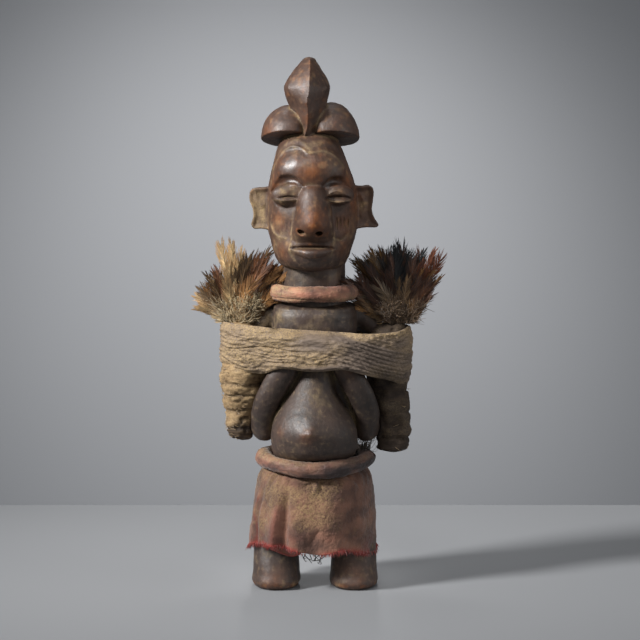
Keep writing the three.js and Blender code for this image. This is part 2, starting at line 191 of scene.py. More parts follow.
def levels(stations, power=2.0, soft=1.0):
    """A form with level sections. A station is [height, middle x, half width, front y, back y]."""
    table, at = np.array(stations, float), between(stations)
    bottom, top = table[0, 0], table[-1, 0]

    def away(points):
        x, y, z = points.T
        middle, half, front, back = at(np.clip(z, bottom, top)).T
        deep = (back - front) / 2
        u = np.abs(x - middle) / half
        v = np.abs(y - (front + back) / 2) / deep
        r = (u**power + v**power) ** (1 / power) + 1e-6
        steep = np.hypot((u / r) ** (power - 1) / half, (v / r) ** (power - 1) / deep)
        side = (r - 1) / np.maximum(steep, 1e-3)
        return soft_max(side, np.maximum(bottom - z, z - top), soft)

    low = [np.min(table[:, 1] - table[:, 2]), table[:, 3].min(), bottom]
    high = [np.max(table[:, 1] + table[:, 2]), table[:, 4].max(), top]
    return Form(away, low, high)


def smooth_path(points, count):
    """Evenly numbered places along a smooth line through the points."""
    points = np.array(points, float)
    lengths = np.r_[0, np.cumsum(np.linalg.norm(np.diff(points, axis=0), axis=1))]
    along = between(np.column_stack([lengths / lengths[-1], points]))
    return along(np.linspace(0, 1, count))


def nearest_on(path, points):
    """The squared distance from each point to a path, and where along it, in steps."""
    nearest, place = np.full(len(points), np.inf), np.zeros(len(points))
    for i in range(len(path) - 1):
        step = path[i + 1] - path[i]
        t = np.clip((points - path[i]) @ step / (step @ step), 0, 1)
        gap = ((points - path[i] - t[:, None] * step) ** 2).sum(1)
        closer = gap < nearest
        nearest[closer], place[closer] = gap[closer], i + t[closer]
    return nearest, place


def drawn(line, heights, widths, count=24):
    """A ridge drawn on the front along points [x, z], or a groove where its height is below 0."""
    path = smooth_path(line, count)
    size = between([[i, *pair] for i, pair in enumerate(zip(heights, widths))])

    def away(points):
        gap, place = nearest_on(path, points[:, [0, 2]])
        height, width = size(place / (count - 1) * (len(heights) - 1)).T
        return height * np.exp(-((np.sqrt(gap) / width) ** 1.7)) * smooth_step(2, -4, points[:, 1])

    reach = 2.6 * max(widths)
    low, high = path.min(0) - reach, path.max(0) + reach
    return Form(away, [low[0], -46, low[1]], [high[0], 2, high[1]])


def limb(points, sizes, across=(1, 0, 0), count=20):
    """A round-ended form along a line. A size is [half across, half through], from start to end."""
    path = smooth_path(points, count)
    size = between([[i / (len(sizes) - 1), *pair] for i, pair in enumerate(sizes)])
    tangents = np.gradient(path, axis=0)
    tangents /= np.linalg.norm(tangents, axis=1, keepdims=True)
    sides = np.array(across, float) - tangents * (tangents @ np.array(across, float))[:, None]
    sides /= np.linalg.norm(sides, axis=1, keepdims=True)
    fronts = np.cross(sides, tangents)

    def away(points):
        nearest, share = nearest_on(path, points)
        i = np.minimum(share.astype(int), count - 2)
        t = (share - i)[:, None]
        middle, side, front, tangent = (
            rows[i] * (1 - t) + rows[i + 1] * t for rows in (path, sides, fronts, tangents)
        )
        offset = points - middle
        wide, deep = size(share / (count - 1)).T
        a = (offset * side).sum(1) / wide
        b = (offset * front).sum(1) / deep
        c = (offset * tangent).sum(1) / np.minimum(wide, deep)
        r = np.sqrt(a * a + b * b + c * c) + 1e-6
        return (r - 1) * np.sqrt(nearest) / r

    reach = np.max(sizes)
    return Form(away, path.min(0) - reach, path.max(0) + reach)


def flat_side(place, facing):
    """Everything behind a plane through place that faces that way."""
    place, facing = np.array(place, float), np.array(facing, float)
    facing /= np.linalg.norm(facing)
    return lambda points: (points - place) @ facing


def within(form, planes, soft=0.6):
    """What of a form lies behind every plane."""

    def away(points):
        depth = form.away(points)
        for plane in planes:
            depth = soft_max(depth, plane(points), soft)
        return depth

    return Form(away, form.low, form.high)


def measure(steps, points, room=4.0):
    """How far outside the carving each point is. A step is ("add", "cut" or "mark", form, softness)."""
    depth = np.full(len(points), FAR)
    for kind, form, soft in steps:
        reach = soft + room
        near = np.all((points > form.low - reach) & (points < form.high + reach), axis=1)
        if not near.any():
            continue
        away = form.away(points[near])
        if kind == "mark":
            depth[near] -= away
        elif kind == "add":
            depth[near] = soft_min(depth[near], away, soft)
        else:
            depth[near] = soft_max(depth[near], -away, soft)
    return depth


def directions(steps, points, reach=0.12):
    """The outward direction of the carving at each point, and how fast the distance grows there."""
    corners = np.array([[1, -1, -1], [-1, -1, 1], [-1, 1, -1], [1, 1, 1]], float)
    rise = sum(
        measure(steps, points + reach * corner)[:, None] * corner for corner in corners
    ) / (4 * reach)
    size = np.linalg.norm(rise, axis=1, keepdims=True) + 1e-9
    return rise / size, size[:, 0]


def settle(steps, points, most, rounds=2):
    """Points moved onto the carving's surface."""
    for _ in range(rounds):
        outward, growth = directions(steps, points)
        move = np.clip(measure(steps, points) / np.maximum(growth, 0.3), -most, most)
        points = points - outward * move[:, None]
    return points


def surface(steps, low, high, cell):
    """The carving's surface as points and triangles, from a grid of cells."""
    axes = [np.arange(a - 2 * cell, b + 3 * cell, cell) for a, b in zip(low, high)]
    shape = tuple(len(axis) for axis in axes)
    grid = np.stack(np.meshgrid(*axes, indexing="ij"), -1).reshape(-1, 3)
    depth = measure(steps, grid).reshape(shape)
    inside = depth < 0
    cells = np.array(shape)
    total, count = np.zeros((cells.prod(), 3)), np.zeros(cells.prod())
    quads = []
    for axis in range(3):
        head = [slice(None)] * 3
        tail = [slice(None)] * 3
        head[axis], tail[axis] = slice(None, -1), slice(1, None)
        crossing = np.argwhere(inside[tuple(head)] != inside[tuple(tail)])
        forward = crossing.copy()
        forward[:, axis] += 1
        a, b = depth[tuple(crossing.T)], depth[tuple(forward.T)]
        place = crossing.astype(float)
        place[:, axis] += a / (a - b)
        u, v = [k for k in range(3) if k != axis]
        ring = []
        for du, dv in ((0, 0), (1, 0), (1, 1), (0, 1)):
            owner = crossing.copy()
            owner[:, u] -= du
            owner[:, v] -= dv
            name = np.ravel_multi_index(owner.T, shape)
            for k in range(3):
                total[:, k] += np.bincount(name, place[:, k], minlength=len(count))
            count += np.bincount(name, minlength=len(count))
            ring.append(name)
        quad = np.stack(ring, 1)
        flip = (a < 0) == (axis == 1)
        quad[flip] = quad[flip][:, ::-1]
        quads.append(quad)
    quads = np.concatenate(quads)
    used, quads = np.unique(quads, return_inverse=True)
    quads = quads.reshape(-1, 4)
    points = total[used] / count[used][:, None] * cell + [axis[0] for axis in axes]
    short = np.linalg.norm(points[quads[:, 0]] - points[quads[:, 2]], axis=1)
    other = np.linalg.norm(points[quads[:, 1]] - points[quads[:, 3]], axis=1)
    turned = np.where((short > other)[:, None], np.roll(quads, -1, axis=1), quads)
    triangles = np.concatenate([turned[:, [0, 1, 2]], turned[:, [0, 2, 3]]])
    return points, triangles


def split_edges(points, triangles, wanted):
    """Triangles with each wanted edge parted at its middle; also the new points' numbers."""
    edges = np.sort(np.stack([triangles, np.roll(triangles, -1, axis=1)], -1), -1)
    edges, name = np.unique(edges.reshape(-1, 2), axis=0, return_inverse=True)
    name = name.reshape(-1, 3)
    marked = wanted(edges)
    middle = np.full(len(edges), -1)
    middle[marked] = len(points) + np.arange(marked.sum())
    points = np.concatenate([points, points[edges[marked]].mean(1)])
    cuts = middle[name]
    number = (cuts >= 0).sum(1)
    for target, test in ((1, lambda c: c[:, 0] < 0), (2, lambda c: c[:, 2] >= 0)):
        for _ in range(2):
            turn = (number == target) & test(cuts)
            triangles[turn] = np.roll(triangles[turn], -1, axis=1)
            cuts[turn] = np.roll(cuts[turn], -1, axis=1)
    a, b, c = triangles.T
    p, q, r = cuts.T
    parts = [triangles[number == 0]]
    patterns = {
        1: [(a, p, c), (p, b, c)],
        2: [(p, b, q), (a, p, q), (a, q, c)],
        3: [(a, p, r), (p, b, q), (r, q, c), (p, q, r)],
    }
    for target, pieces in patterns.items():
        chosen = number == target
        parts += [np.stack(piece, 1)[chosen] for piece in pieces]
    return points, np.concatenate(parts)


def carve(steps, low, high, cell, rounds=2, flaw=0.03, shortest=0.5):
    """A fine surface of the carving: more triangles where flat ones would miss its shape."""
    points, triangles = surface(steps, low, high, cell)
    points = settle(steps, points, cell / 2)
    for _ in range(rounds):
        start = len(points)

        def wanted(edges):
            ends = points[edges]
            long = np.linalg.norm(ends[:, 0] - ends[:, 1], axis=1) > shortest
            off = np.zeros(len(edges), bool)
            off[long] = np.abs(measure(steps, ends[long].mean(1))) > flaw
            return off

        points, triangles = split_edges(points, triangles.copy(), wanted)
        points[start:] = settle(steps, points[start:], cell / 2)
    return points, triangles


# Objects


def add_object(name, points, faces, values=None, colours=None, smooth=True):
    """A mesh object from points in millimetres, with a number or colour for each point."""
    mesh = bpy.data.meshes.new(name)
    mesh.from_pydata((np.asarray(points) * MM).tolist(), [], [list(map(int, f)) for f in faces])
    mesh.validate()
    for key, data in (values or {}).items():
        layer = mesh.attributes.new(key, "FLOAT", "POINT")
        layer.data.foreach_set("value", np.asarray(data, np.float32))
    for key, data in (colours or {}).items():
        layer = mesh.attributes.new(key, "FLOAT_COLOR", "POINT")
        full = np.column_stack([data, np.ones(len(data))])
        layer.data.foreach_set("color", full.astype(np.float32).ravel())
    mesh.polygons.foreach_set("use_smooth", [smooth] * len(mesh.polygons))
    obj = bpy.data.objects.new(name, mesh)
    bpy.context.scene.collection.objects.link(obj)
    return obj


def dress(obj, material, slot, *nodes):
    """Gives a piece its material, seats it on the body and hides the solids it stands for; its
    slot is not used.
    """
    obj.data.materials.append(material)
    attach(obj, BODY)
    if nodes:
        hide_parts(*nodes)
    return obj


def mesh_grid(rows, columns, close_rows=False, close_columns=False):
    """Quads of a grid of points that are numbered row by row."""
    number = np.arange(rows * columns).reshape(rows, columns)
    if close_rows:
        number = np.vstack([number, number[:1]])
    if close_columns:
        number = np.hstack([number, number[:, :1]])
    a, b, c, d = number[:-1, :-1], number[:-1, 1:], number[1:, 1:], number[1:, :-1]
    return np.stack([a, b, c, d], -1).reshape(-1, 4)


def node_box(name):
    """The middle and the half size of a solid, in millimetres."""
    low, high = (np.array(corner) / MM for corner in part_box(name))
    return (low + high) / 2, (high - low) / 2


# Materials


# A pattern's marks are as wide as they are tall
EVEN = (1, 1, 1)


def plug(tree, node, sockets):
    """Sets a node's sockets, or links what leads to them."""
    for socket, value in sockets.items():
        if isinstance(value, bpy.types.NodeSocket):
            tree.links.new(value, node.inputs[socket])
        else:
            node.inputs[socket].default_value = value
    return node.outputs


def add(tree, kind, output, sockets, **settings):
    """Adds a node with its settings and links, and gives back one of its outputs.

    Sockets go by number where names repeat. A colour mix takes its share at 0 and its colours at 6
    and 7. A range takes its value at 0, its limits at 1 and 2, and what they become at 3 and 4.
    """
    node = tree.nodes.new("ShaderNode" + kind)
    for key, value in settings.items():
        setattr(node, key, value)
    return plug(tree, node, sockets)[output]


def begin(name, marks=(), painted=()):
    """A new material and its tree, a pattern for each mark, and each value that the mesh carries.

    A mark is its real size in millimetres, its detail and how it is drawn out along X, Y and Z.
    """
    material = bpy.data.materials.new(name)
    material.use_nodes = True
    tree = material.node_tree
    place = add(tree, "TexCoord", "Object", {}) if marks else None
    patterns = []
    for size, detail, stretch in marks:
        along = add(tree, "Mapping", 0, {0: place, 3: stretch})
        sockets = {"Vector": along, "Scale": 1 / MM / size, "Detail": detail}
        patterns.append(add(tree, "TexNoise", "Fac", sockets))
    values = [add(tree, "Attribute", "Fac", {}, attribute_name=key) for key in painted]
    return material, tree, patterns, values


def skin(tree, colour, layers, relief, sockets):
    """Lays colours over the first, stacks the reliefs and sets the shader.

    A layer is its hex colour, what the mesh carries for it, and the pattern that breaks it up, with
    the levels between which it comes in and the least and most that it covers. A relief is its
    pattern and its depth in millimetres.
    """
    for code, painted, *cover in layers:
        share = painted
        if cover:
            share = add(tree, "MapRange", 0, dict(enumerate(cover)))
        if cover and painted is not None:
            share = add(tree, "Math", 0, {0: painted, 1: share}, operation="MULTIPLY")
        colour = add(tree, "Mix", 2, {0: share, 6: colour, 7: rgba(code)}, data_type="RGBA")
    for pattern, depth in relief:
        bump = {"Height": pattern, "Distance": depth * MM, "Strength": 1.0}
        if "Normal" in sockets:
            bump["Normal"] = sockets["Normal"]
        sockets = {**sockets, "Normal": add(tree, "Bump", 0, bump)}
    plug(tree, tree.nodes["Principled BSDF"], {"Base Color": colour, **sockets})


def patinated_wood(look):
    """Dense hardwood, knife-carved and darkened by oil and smoke: a satin brown-black skin that
    hands have worn to red-brown on the high places, with tan dust kept in the hollows, and
    painted shade laid into its deepest hollows and cuts."""
    # Stains are as wide as a finger, scuffs as a knife cut. Pores, 0.3 mm apart, specks of dust and
    # fine cuts would not show at their real size, and are drawn 1.6, 0.9 and 0.6 mm apart.
    material, tree, patterns, values = begin(
        "hardwood_carved_smoked",
        [(16, 4, EVEN), (3, 5, EVEN), (1.6, 3, (1, 1, 0.12)), (0.9, 2, EVEN), (0.6, 3, EVEN)],
        ["worn", "dust", "shade", "polish"],
    )
    stains, scuffs, pores, specks, cuts = patterns
    worn, dust, shade, polish = values
    dusty = add(tree, "MapRange", 0, {0: specks, 1: 0.3, 2: 0.62, 3: 0.4, 4: 1})
    dusty = add(tree, "Math", 0, {0: dust, 1: dusty}, operation="MULTIPLY")
    layers = [
        (look.wood_mid, None, stains, 0.35, 0.7),
        (look.wood_mid, None, scuffs, 0.42, 0.66, 0, 0.75),
        (look.wood_mid, None, pores, 0.5, 0.75, 0, 0.4),
        (look.wood_dust, None, scuffs, 0.58, 0.7, 0, 0.18),
        # Painted shade, wherever the mesh carries it
        (look.wood_painted_shade, shade),
        (look.wood_worn, worn, scuffs, 0.3, 0.6, 0.5, 1),
        (look.wood_dust, dusty),
    ]
    # Satin where it is bare, glossier where hands polished it, dull under dust
    satin = add(tree, "MapRange", 0, {0: polish, 1: 0, 2: 1, 3: 0.56, 4: 0.36})
    grit = add(tree, "MapRange", 0, {0: specks, 1: 0.3, 2: 0.7, 3: -0.05, 4: 0.08})
    rough = add(tree, "Math", 0, {0: satin, 1: grit}, operation="ADD")
    dulled = {0: dusty, 1: 0.4, 2: rough}
    rough = add(tree, "Math", 0, dulled, operation="MULTIPLY_ADD", use_clamp=True)
    relief = [(pores, 0.22), (scuffs, 0.26), (cuts, 0.12)]
    oil = {"Specular IOR Level": 0.5, "Coat Weight": polish, "Coat Roughness": 0.42}
    skin(tree, rgba(look.wood_dark), layers, relief, {"Roughness": rough, **oil})
    return material


def clay_cloth(look):
    """Cotton cloth rolled round a fibre core and rubbed with red clay: matt pink-brown, rubbed pale
    on its crown, with tan dust in its creases, paler still on the lit side by painted light, and
    painted shade underneath and on the right."""
    # Stains, and crumbs of clay
    material, tree, (stains, crumbs), (dust, shade) = begin(
        "cotton_cloth_clay_rubbed", [(9, 4, EVEN), (1.1, 4, EVEN)], ["dust", "shade"]
    )
    layers = [
        (look.clay_light, None, stains, 0.35, 0.68),
        (look.dust, dust, crumbs, 0.3, 0.65),
        # Painted shade, wherever the mesh carries it
        (look.clay_painted_shade, shade),
    ]
    matt = {"Roughness": 0.66, "Sheen Weight": 0.15}
    skin(tree, rgba(look.clay_dark), layers, [(crumbs, 0.35)], matt)
    return material


def fibre_skin(name, look, dark, light):
    """Bark fibre and hide wound wet and dried hard: matt tan ridges over brown shadow, with a worn
    sheen where the wraps were rubbed."""
    # Stains, strands of fibre that lie level, and crumbs of earth. A strand is about 0.4 mm wide, too
    # fine to show, and is drawn 1.2 mm wide.
    material, tree, (stains, strands, crumbs), (pit, dust, rubbed) = begin(
        name, [(12, 4, EVEN), (1.2, 4, (0.25, 0.25, 1)), (0.8, 3, EVEN)], ["pit", "dust", "rubbed"]
    )
    layers = [
        (light, None, strands, 0.24, 0.6),
        (dark, None, stains, 0.45, 0.75, 0, 0.6),
        (look.pit, pit),
        (look.dust, dust, crumbs, 0.3, 0.65),
    ]
    rough = add(tree, "MapRange", 0, {0: rubbed, 1: 0, 2: 1, 3: 0.82, 4: 0.42})
    skin(tree, rgba(dark), layers, [(strands, 0.5), (crumbs, 0.25)], {"Roughness": rough})
    return material


def feather_vane(name):
    """Bird feathers, dried: silky barbs, darker in streaks, each in its own colour."""
    material, tree, (streaks,), _ = begin(name, [(1, 2, EVEN)])
    tint = add(tree, "Attribute", "Color", {}, attribute_name="tint")
    share = add(tree, "MapRange", 0, {0: streaks, 1: 0.3, 2: 0.7, 3: 0, 4: 0.35})
    darkened = {0: share, 6: tint, 7: rgba(STREAK)}
    colour = add(tree, "Mix", 2, darkened, data_type="RGBA", blend_type="MULTIPLY")
    skin(tree, colour, [], [], {"Roughness": 0.5, "Sheen Weight": 0.2})
    return material


def dusty_cloth(look):
    """Plain-woven trade cotton under a crust of clay and dust: pink-brown where the weave shows,
    tan and crumbly where the crust is thick, red at the frayed edge."""
    # Stains, crumbs of earth, and threads, which are 0.5 mm apart, too fine to show, and are drawn
    # 0.8 mm apart
    material, tree, (stains, crumbs, threads), (dust, red) = begin(
        "cotton_plain_woven_dusty",
        [(13, 5, EVEN), (0.9, 4, EVEN), (0.8, 2, (1, 1, 0.35))],
        ["dust", "red"],
    )
    layers = [
        (look.cloth_light, None, stains, 0.41, 0.61),
        (look.thread_red, red),
        (look.crust, dust, crumbs, 0.36, 0.58, 0, 0.8),
    ]
    matt = {"Roughness": 0.88, "Sheen Weight": 0.2}
    skin(tree, rgba(look.cloth_dark), layers, [(threads, 0.2), (crumbs, 0.5)], matt)
    return material


def spun_thread(name, code):
    """Loose spun thread: matt and soft."""
    material, tree, *_ = begin(name)
    skin(tree, rgba(code), [], [], {"Roughness": 0.8, "Sheen Weight": 0.3})
    return material


def painted_board(name, code):
    """Matt studio board: even and pale."""
    material, tree, *_ = begin(name)
    skin(tree, rgba(code), [], [], {"Roughness": 0.9, "Specular IOR Level": 0.2})
    return material


# The carving, worked out from the same stations as its solid


def leg(side):
    """A stub leg on its foot, which is flat below."""
    return levels(
        [
            [0, side * LEG_SPREAD, 13, -20.6, 16.4],
            [1.4, side * LEG_SPREAD, 14.1, -22.4, 18],
            [10, side * LEG_SPREAD, 14.3, -22, 18],
            [22, side * LEG_SPREAD, 13.8, -17.6, 17.4],
            [34, side * LEG_SPREAD * 0.98, 13.4, -14.6, 18],
            [52, side * LEG_SPREAD * 0.8, 13, -14, 20],
        ],
        power=2.3,
        soft=2.0,
    )


def trunk_steps():
    """Hips, legs, trunk, and the swollen belly with its pointed navel."""
    hips = levels(
        [
            [33, 0, 22, -8, 12],
            [38, 0, 33.5, -13.5, 20],
            [50, 0, 35.5, -16, 24],
            [60, 0, 31, -17, 24],
            [67, 0, 25, -17, 20],
            [80, 0, 23.5, -16, 19],
        ],
        power=2.3,
    )
    trunk = levels(
        [
            [66, 0, 23.4, -14, 19],
            [84, 0, 23.6, -15, 19.6],
            [97, 0, 26.2, -16, 20.4],
            [125, 0, 26.4, -15, 21],
            [150, -0.2, 25.4, -18, 23],
            [165, -0.3, 25.8, -20, 23.6],
            [171.5, -0.4, 24.8, -19, 22.6],
            [174.6, -0.5, 22.6, -16, 20.5],
            [175.7, -0.6, 18, -12, 16],
        ],
        power=2.6,
    )
    belly = levels(
        [
            [68, -0.5, 14, -14, 2],
            [74, -0.5, 18.4, -20, 4],
            [78, -0.5, 20.8, -23.4, 6],
            [80.4, -0.5, 21.8, -25.4, 7],
            [82.4, -0.5, 24, -29.4, 8],
            [86, -0.4, 25.6, -33.4, 8],
            [92, -0.4, 26.4, -36.4, 8],
            [99, -0.6, 26, -37.6, 8],
            [106, -1, 23.8, -35.4, 8],
            [113, -1.4, 19.8, -31, 6],
            [121, -1.2, 15.2, -26.6, 4],
            [132, 0.4, 11.6, -23.4, 2],
            [142, 0, 9.8, -21, 0],
        ],
        power=1.9,
    )
    navel = drawn([[-2.4, 120], [-2.8, 110], [-2.8, 100.8]], [0.2, 0.7, 3], [4, 4.4, 5.6])
    flank = drawn([[-2.8, 100.8], [-8, 98.4], [-13.6, 95.4]], [0.5, 0.4, 0], [2, 2.2, 2])
    return [
        ("add", hips, 0),
        ("add", leg(-1), 2.5),
        ("add", leg(1), 2.5),
        ("add", trunk, 2.5),
        ("add", belly, 1.2),
        ("mark", navel, 0),
        ("mark", flank, 0),
    ]


def arm_forms(side, grow=0.0):
    """One arm as four forms, each of them thicker by grow: the forearm comes up to the chest."""

    def place(x, y, z):
        return [side * x + 0.3, y, z]

    def grown(sizes):
        return [[a + grow, b + grow] for a, b in sizes]

    shoulder = limb(
        [place(12, 6, 168), place(28, 7, 166), place(37, 8, 157), place(39.5, 8.5, 140)],
        grown([[7, 9], [7.4, 8], [6.6, 7], [6.4, 6.4]]),
        across=(0, 0, 1),
    )
    upper = limb(
        [place(38.8, 8.5, 150), place(39, 8.5, 128), place(33, 5, 99)],
        grown([[6.4, 6.4], [6.4, 6.6], [7, 7]]),
    )
    elbow = blob(place(31.4, -0.5, 99.6), [8.4 + grow, 8.4 + grow, 9.6 + grow])
    fore = limb(
        [
            place(31.5, -3, 97),
            place(32, -9, 107),
            place(28.2, -14.6, 120),
            place(20, -18, 135),
            place(12.4, -18.6, 151),
        ],
        grown([[6.8, 6.6], [7.6, 6.2], [7.8, 5.8], [7.8, 5.6], [7.8, 5.4]]),
    )
    return [shoulder, upper, elbow, fore]


def arm_steps(side):
    """One arm, with the gaps between its fingers where the hand goes under the band."""
    shoulder, upper, elbow, fore = arm_forms(side)
    return [
        ("add", shoulder, 1.6),
        ("add", upper, 2.0),
        ("add", elbow, 3.0),
        ("add", fore, 1.2),
    ] + [
        ("mark", drawn([[side * x, 141], [side * (x - 2), 133]], [-0.7, -0.5, 0], [0.7, 0.7, 0.6]), 0)
        for x in (9.5, 12.5, 15.5)
    ]


# The hollow under each brow: points from its inner to its outer end, and sizes there
BROWS = {
    -1: (
        [
            [-7.6, -27.2, 249],
            [-12.5, -26, 252.6],
            [-18.5, -22.6, 253],
            [-23.5, -16, 250],
            [-26.6, -9, 245],
        ],
        [[1.6, 2.6], [3.0, 3.8], [3.2, 3.8], [2.8, 3.0], [1.3, 1.6]],
    ),
    1: (
        [
            [5, -27.4, 248],
            [9.8, -26.2, 251.4],
            [15.6, -22.8, 252],
            [20.6, -16.4, 249.6],
            [23.8, -9.4, 245],
        ],
        [[2.2, 3.4], [3.4, 4.6], [3.6, 4.6], [3.2, 3.6], [1.4, 1.6]],
    ),
}
# Creases round each eye: points [x, z], height and width
LIDS = {
    -1: [
        ([[-22, 242.4], [-16.4, 243.2], [-9.8, 242.6]], -1.0, 0.5),
        ([[-24.6, 241.4], [-18.2, 240.8], [-10.6, 241.4]], 1.1, 1.0),
        ([[-24.4, 237.6], [-18, 235.8], [-11.4, 237.4]], -1.0, 1.9),
    ],
    1: [
        ([[6.4, 243.2], [12.6, 246.8], [21.6, 242.8]], 0.9, 0.8),
        ([[7.2, 242.4], [14.2, 243], [21, 242.2]], -2.4, 1.1),
        ([[7.4, 240.4], [14, 239.8], [21.6, 240.6]], 1.0, 0.7),
        ([[7.6, 238], [14, 236.6], [20.6, 238]], -0.9, 1.6),
    ],
}


def eye_steps(side):
    """A coffee-bean eye in its socket; the one at the viewer's right is a little open."""
    center = [HEAD_X + side * EYE_SPREAD, EYE_Y, EYE_Z]
    steps = [("add", blob(center, [9.4, 4.6, 6.6]), 1.8)]
    for line, height, width in LIDS[side]:
        marks = [0.3 * height, height, height, 0.3 * height]
        steps.append(("mark", drawn(line, marks, [0.7 * width, width, width, 0.7 * width]), 0))
    return steps


# The line between the lips
SLIT = [
    [MOUTH_X - MOUTH_HALF, MOUTH_Z - 0.2],
    [MOUTH_X - 5, MOUTH_Z + 0.5],
    [MOUTH_X + 5, MOUTH_Z + 0.5],
    [MOUTH_X + MOUTH_HALF, MOUTH_Z - 0.2],
]


def lip(rise, half, thick, out):
    """A lip from corner to corner of the mouth: its rise, half width, thickness and how far out."""
    return limb(
        [
            [MOUTH_X - half, MOUTH_Y + 4.4, MOUTH_Z + rise * 0.4],
            [MOUTH_X, MOUTH_Y + out, MOUTH_Z + rise],
            [MOUTH_X + half, MOUTH_Y + 4.4, MOUTH_Z + rise * 0.4],
        ],
        [[1.2, 1.2], [thick, thick], [1.2, 1.2]],
        across=(0, 0, 1),
    )


def face_steps():
    """Neck, head, brows, the up-turned nose, mouth and eyes."""
    skull = levels(
        [
            [197.6, -1.2, 14, -14, 18],
            [199, -1.4, 18, -21, 23],
            [203, -1.6, 21.8, -24.4, 27.4],
            [208, -1.6, 23.8, -25.6, 30.6],
            [214, -1.6, 25.6, -25.8, 33.6],
            [221, -1.5, 27.3, -25.6, 36],
            [233, -1.5, 27.9, -25.6, 37.8],
            [245, -1.7, 27, -25.6, 38],
            [255, -2.3, 24.6, -25, 36],
            [263, -2.8, 22.2, -23.4, 33],
            [270, -3.3, 19.8, -20.4, 29],
            [276, CREST_X, 17, -17, 25],
            [280, CREST_X, 13, -12, 21],
        ],
        power=2.25,
    )
    neck = levels(
        [
            [z, NECK_X, NECK_RADIUS, NECK_Y - NECK_RADIUS, NECK_Y + NECK_RADIUS]
            for z in (160, 180, 208)
        ]
    )
    nose_root = -23
    nose = levels(
        [
            [z, x, half, front, 2 * nose_root - front]
            for z, x, half, front in (
                (214.4, -1.5, 11, -27.6),
                (217.2, -1.4, 11.9, -31),
                (220.8, -1.3, 12.3, -35.6),
                (224, -1.2, 12.2, -38.6),
                (227, -1, 11.9, -39.6),
                (231.4, -0.9, 11.3, -38.8),
                (237.6, -0.9, 10.4, -35.9),
                (243, -1, 9, -32.6),
                (247, -1.1, 7.4, -30.2),
                (250, -1.1, 5.4, -27.2),
            )
        ],
        power=1.9,
        soft=1.6,
    )
    muzzle = blob([MOUTH_X, -18.6, 210.4], [16.4, 10.8, 10.4])
    philtrum = blob([MOUTH_X, -19.4, 216.4], [11.5, 8.4, 5])
    chin = blob([MOUTH_X, -17.4, 204.6], [15, 9.6, 6.4])
    forehead = blob([HEAD_X - 1, -14.4, 258], [20.6, 13, 14])
    steps = [("add", neck, 1.0), ("add", skull, 1.5), ("add", forehead, 3.0)]
    steps += [("cut", limb(*BROWS[side], across=(0, 0, 1)), 0.8) for side in SIDES]
    steps += [
        ("add", muzzle, 4.0),
        ("add", philtrum, 3.0),
        ("add", chin, 4.0),
        ("add", nose, 0.9),
        ("add", lip(2.2, MOUTH_HALF - 0.8, 1.3, 0.9), 1.8),
        ("add", lip(-3.1, MOUTH_HALF + 0.4, 3.1, -1.9), 1.2),
        ("mark", drawn(SLIT, [-0.6, -1.9, -1.9, -0.6], [0.6, 0.8, 0.8, 0.6]), 0),
    ]
    for side in SIDES:
        steps += eye_steps(side)
        nostril = limb(
            [[-2.9 + side * 5.4, -42, 219.8], [-2.9 + side * 5.2, -31, 223.4]],
            [[2.7 - side * 0.5, 2.2], [2.2, 1.8]],
        )
        steps.append(("cut", nostril, 0.5))
    return steps


# Lines drawn on the face: points [x, z] from the front, then heights and widths along them
FACE_LINES = [
    (
        [[8.8, 246], [8.6, 238], [9.6, 230], [10.6, 222], [11.2, 213]],
        [0, 0.5, 0.7, 0],
        [0.7, 0.8, 0.8, 0.7],
    ),
    ([[-13.2, 236], [-13.6, 224], [-13.8, 212]], [0, 0.4, 0.4], [0.8, 0.8, 0.8]),
    ([[10.6, 218.6], [15.4, 216.4], [20.4, 220.4]], [-0.3, -0.8, -0.2], [0.8, 1.0, 0.8]),
    (
        [[-27.4, 226], [-25.4, 221], [-22.4, 218.4], [-16, 217.6]],
        [0, 0.5, 0.5, 0],
        [0.8, 0.9, 0.9, 0.8],
    ),
    (
        [[-26.4, 251], [-27, 243.6], [-24.6, 237.4], [-17.6, 235]],
        [0.1, 0.4, 0.3, 0],
        [0.8, 0.8, 0.8, 0.8],
    ),
]
HAIRLINE = [
    [-27.4, 247],
    [-26.2, 256],
    [-23.1, 264],
    [-18.9, 270],
    [-14.6, 272.8],
    [-10.9, 273],
    [-7.3, 271.8],
    [-3.6, 269.2],
    [0.4, 270],
    [4.9, 270.6],
    [10.4, 268.8],
    [14.7, 265.2],
    [18.4, 260],
    [21.6, 252],
]
SCALP_LINE = [[-23.7, 266], [-19.5, 272], [-15.2, 275.6], [-10.9, 277], [-6.4, 275], [-3.4, 270.6]]


# Short upright cuts on each cheek: their places across, their top and their depth
CHEEK_CUTS = [
    ([-19, -16.6, -14.4], 230, -0.45),
    ([12.9, 15.1, 17.4, 19.7], 231.4, -0.95),
]


def scar_steps():
    """Drawn lines: creases, the double hairline and the short upright cuts on both cheeks."""
    steps = [("mark", drawn(*line), 0) for line in FACE_LINES]
    steps.append(("mark", drawn(HAIRLINE, [0.2, 0.6, 0.65, 0.6, 0.5, 0.2], [0.85] * 6, 60), 0))
    steps.append(("mark", drawn(SCALP_LINE, [0.1, 0.45, 0.5, 0.2], [1.2] * 4, 30), 0))
    for places, top, deep in CHEEK_CUTS:
        for x in places:
            line = [[x, top], [x + 0.2, top - 5], [x, top - 9.6]]
            steps.append(("mark", drawn(line, [0, deep, deep, 0], [0.5, 0.65, 0.65, 0.5], 8), 0))
    return steps


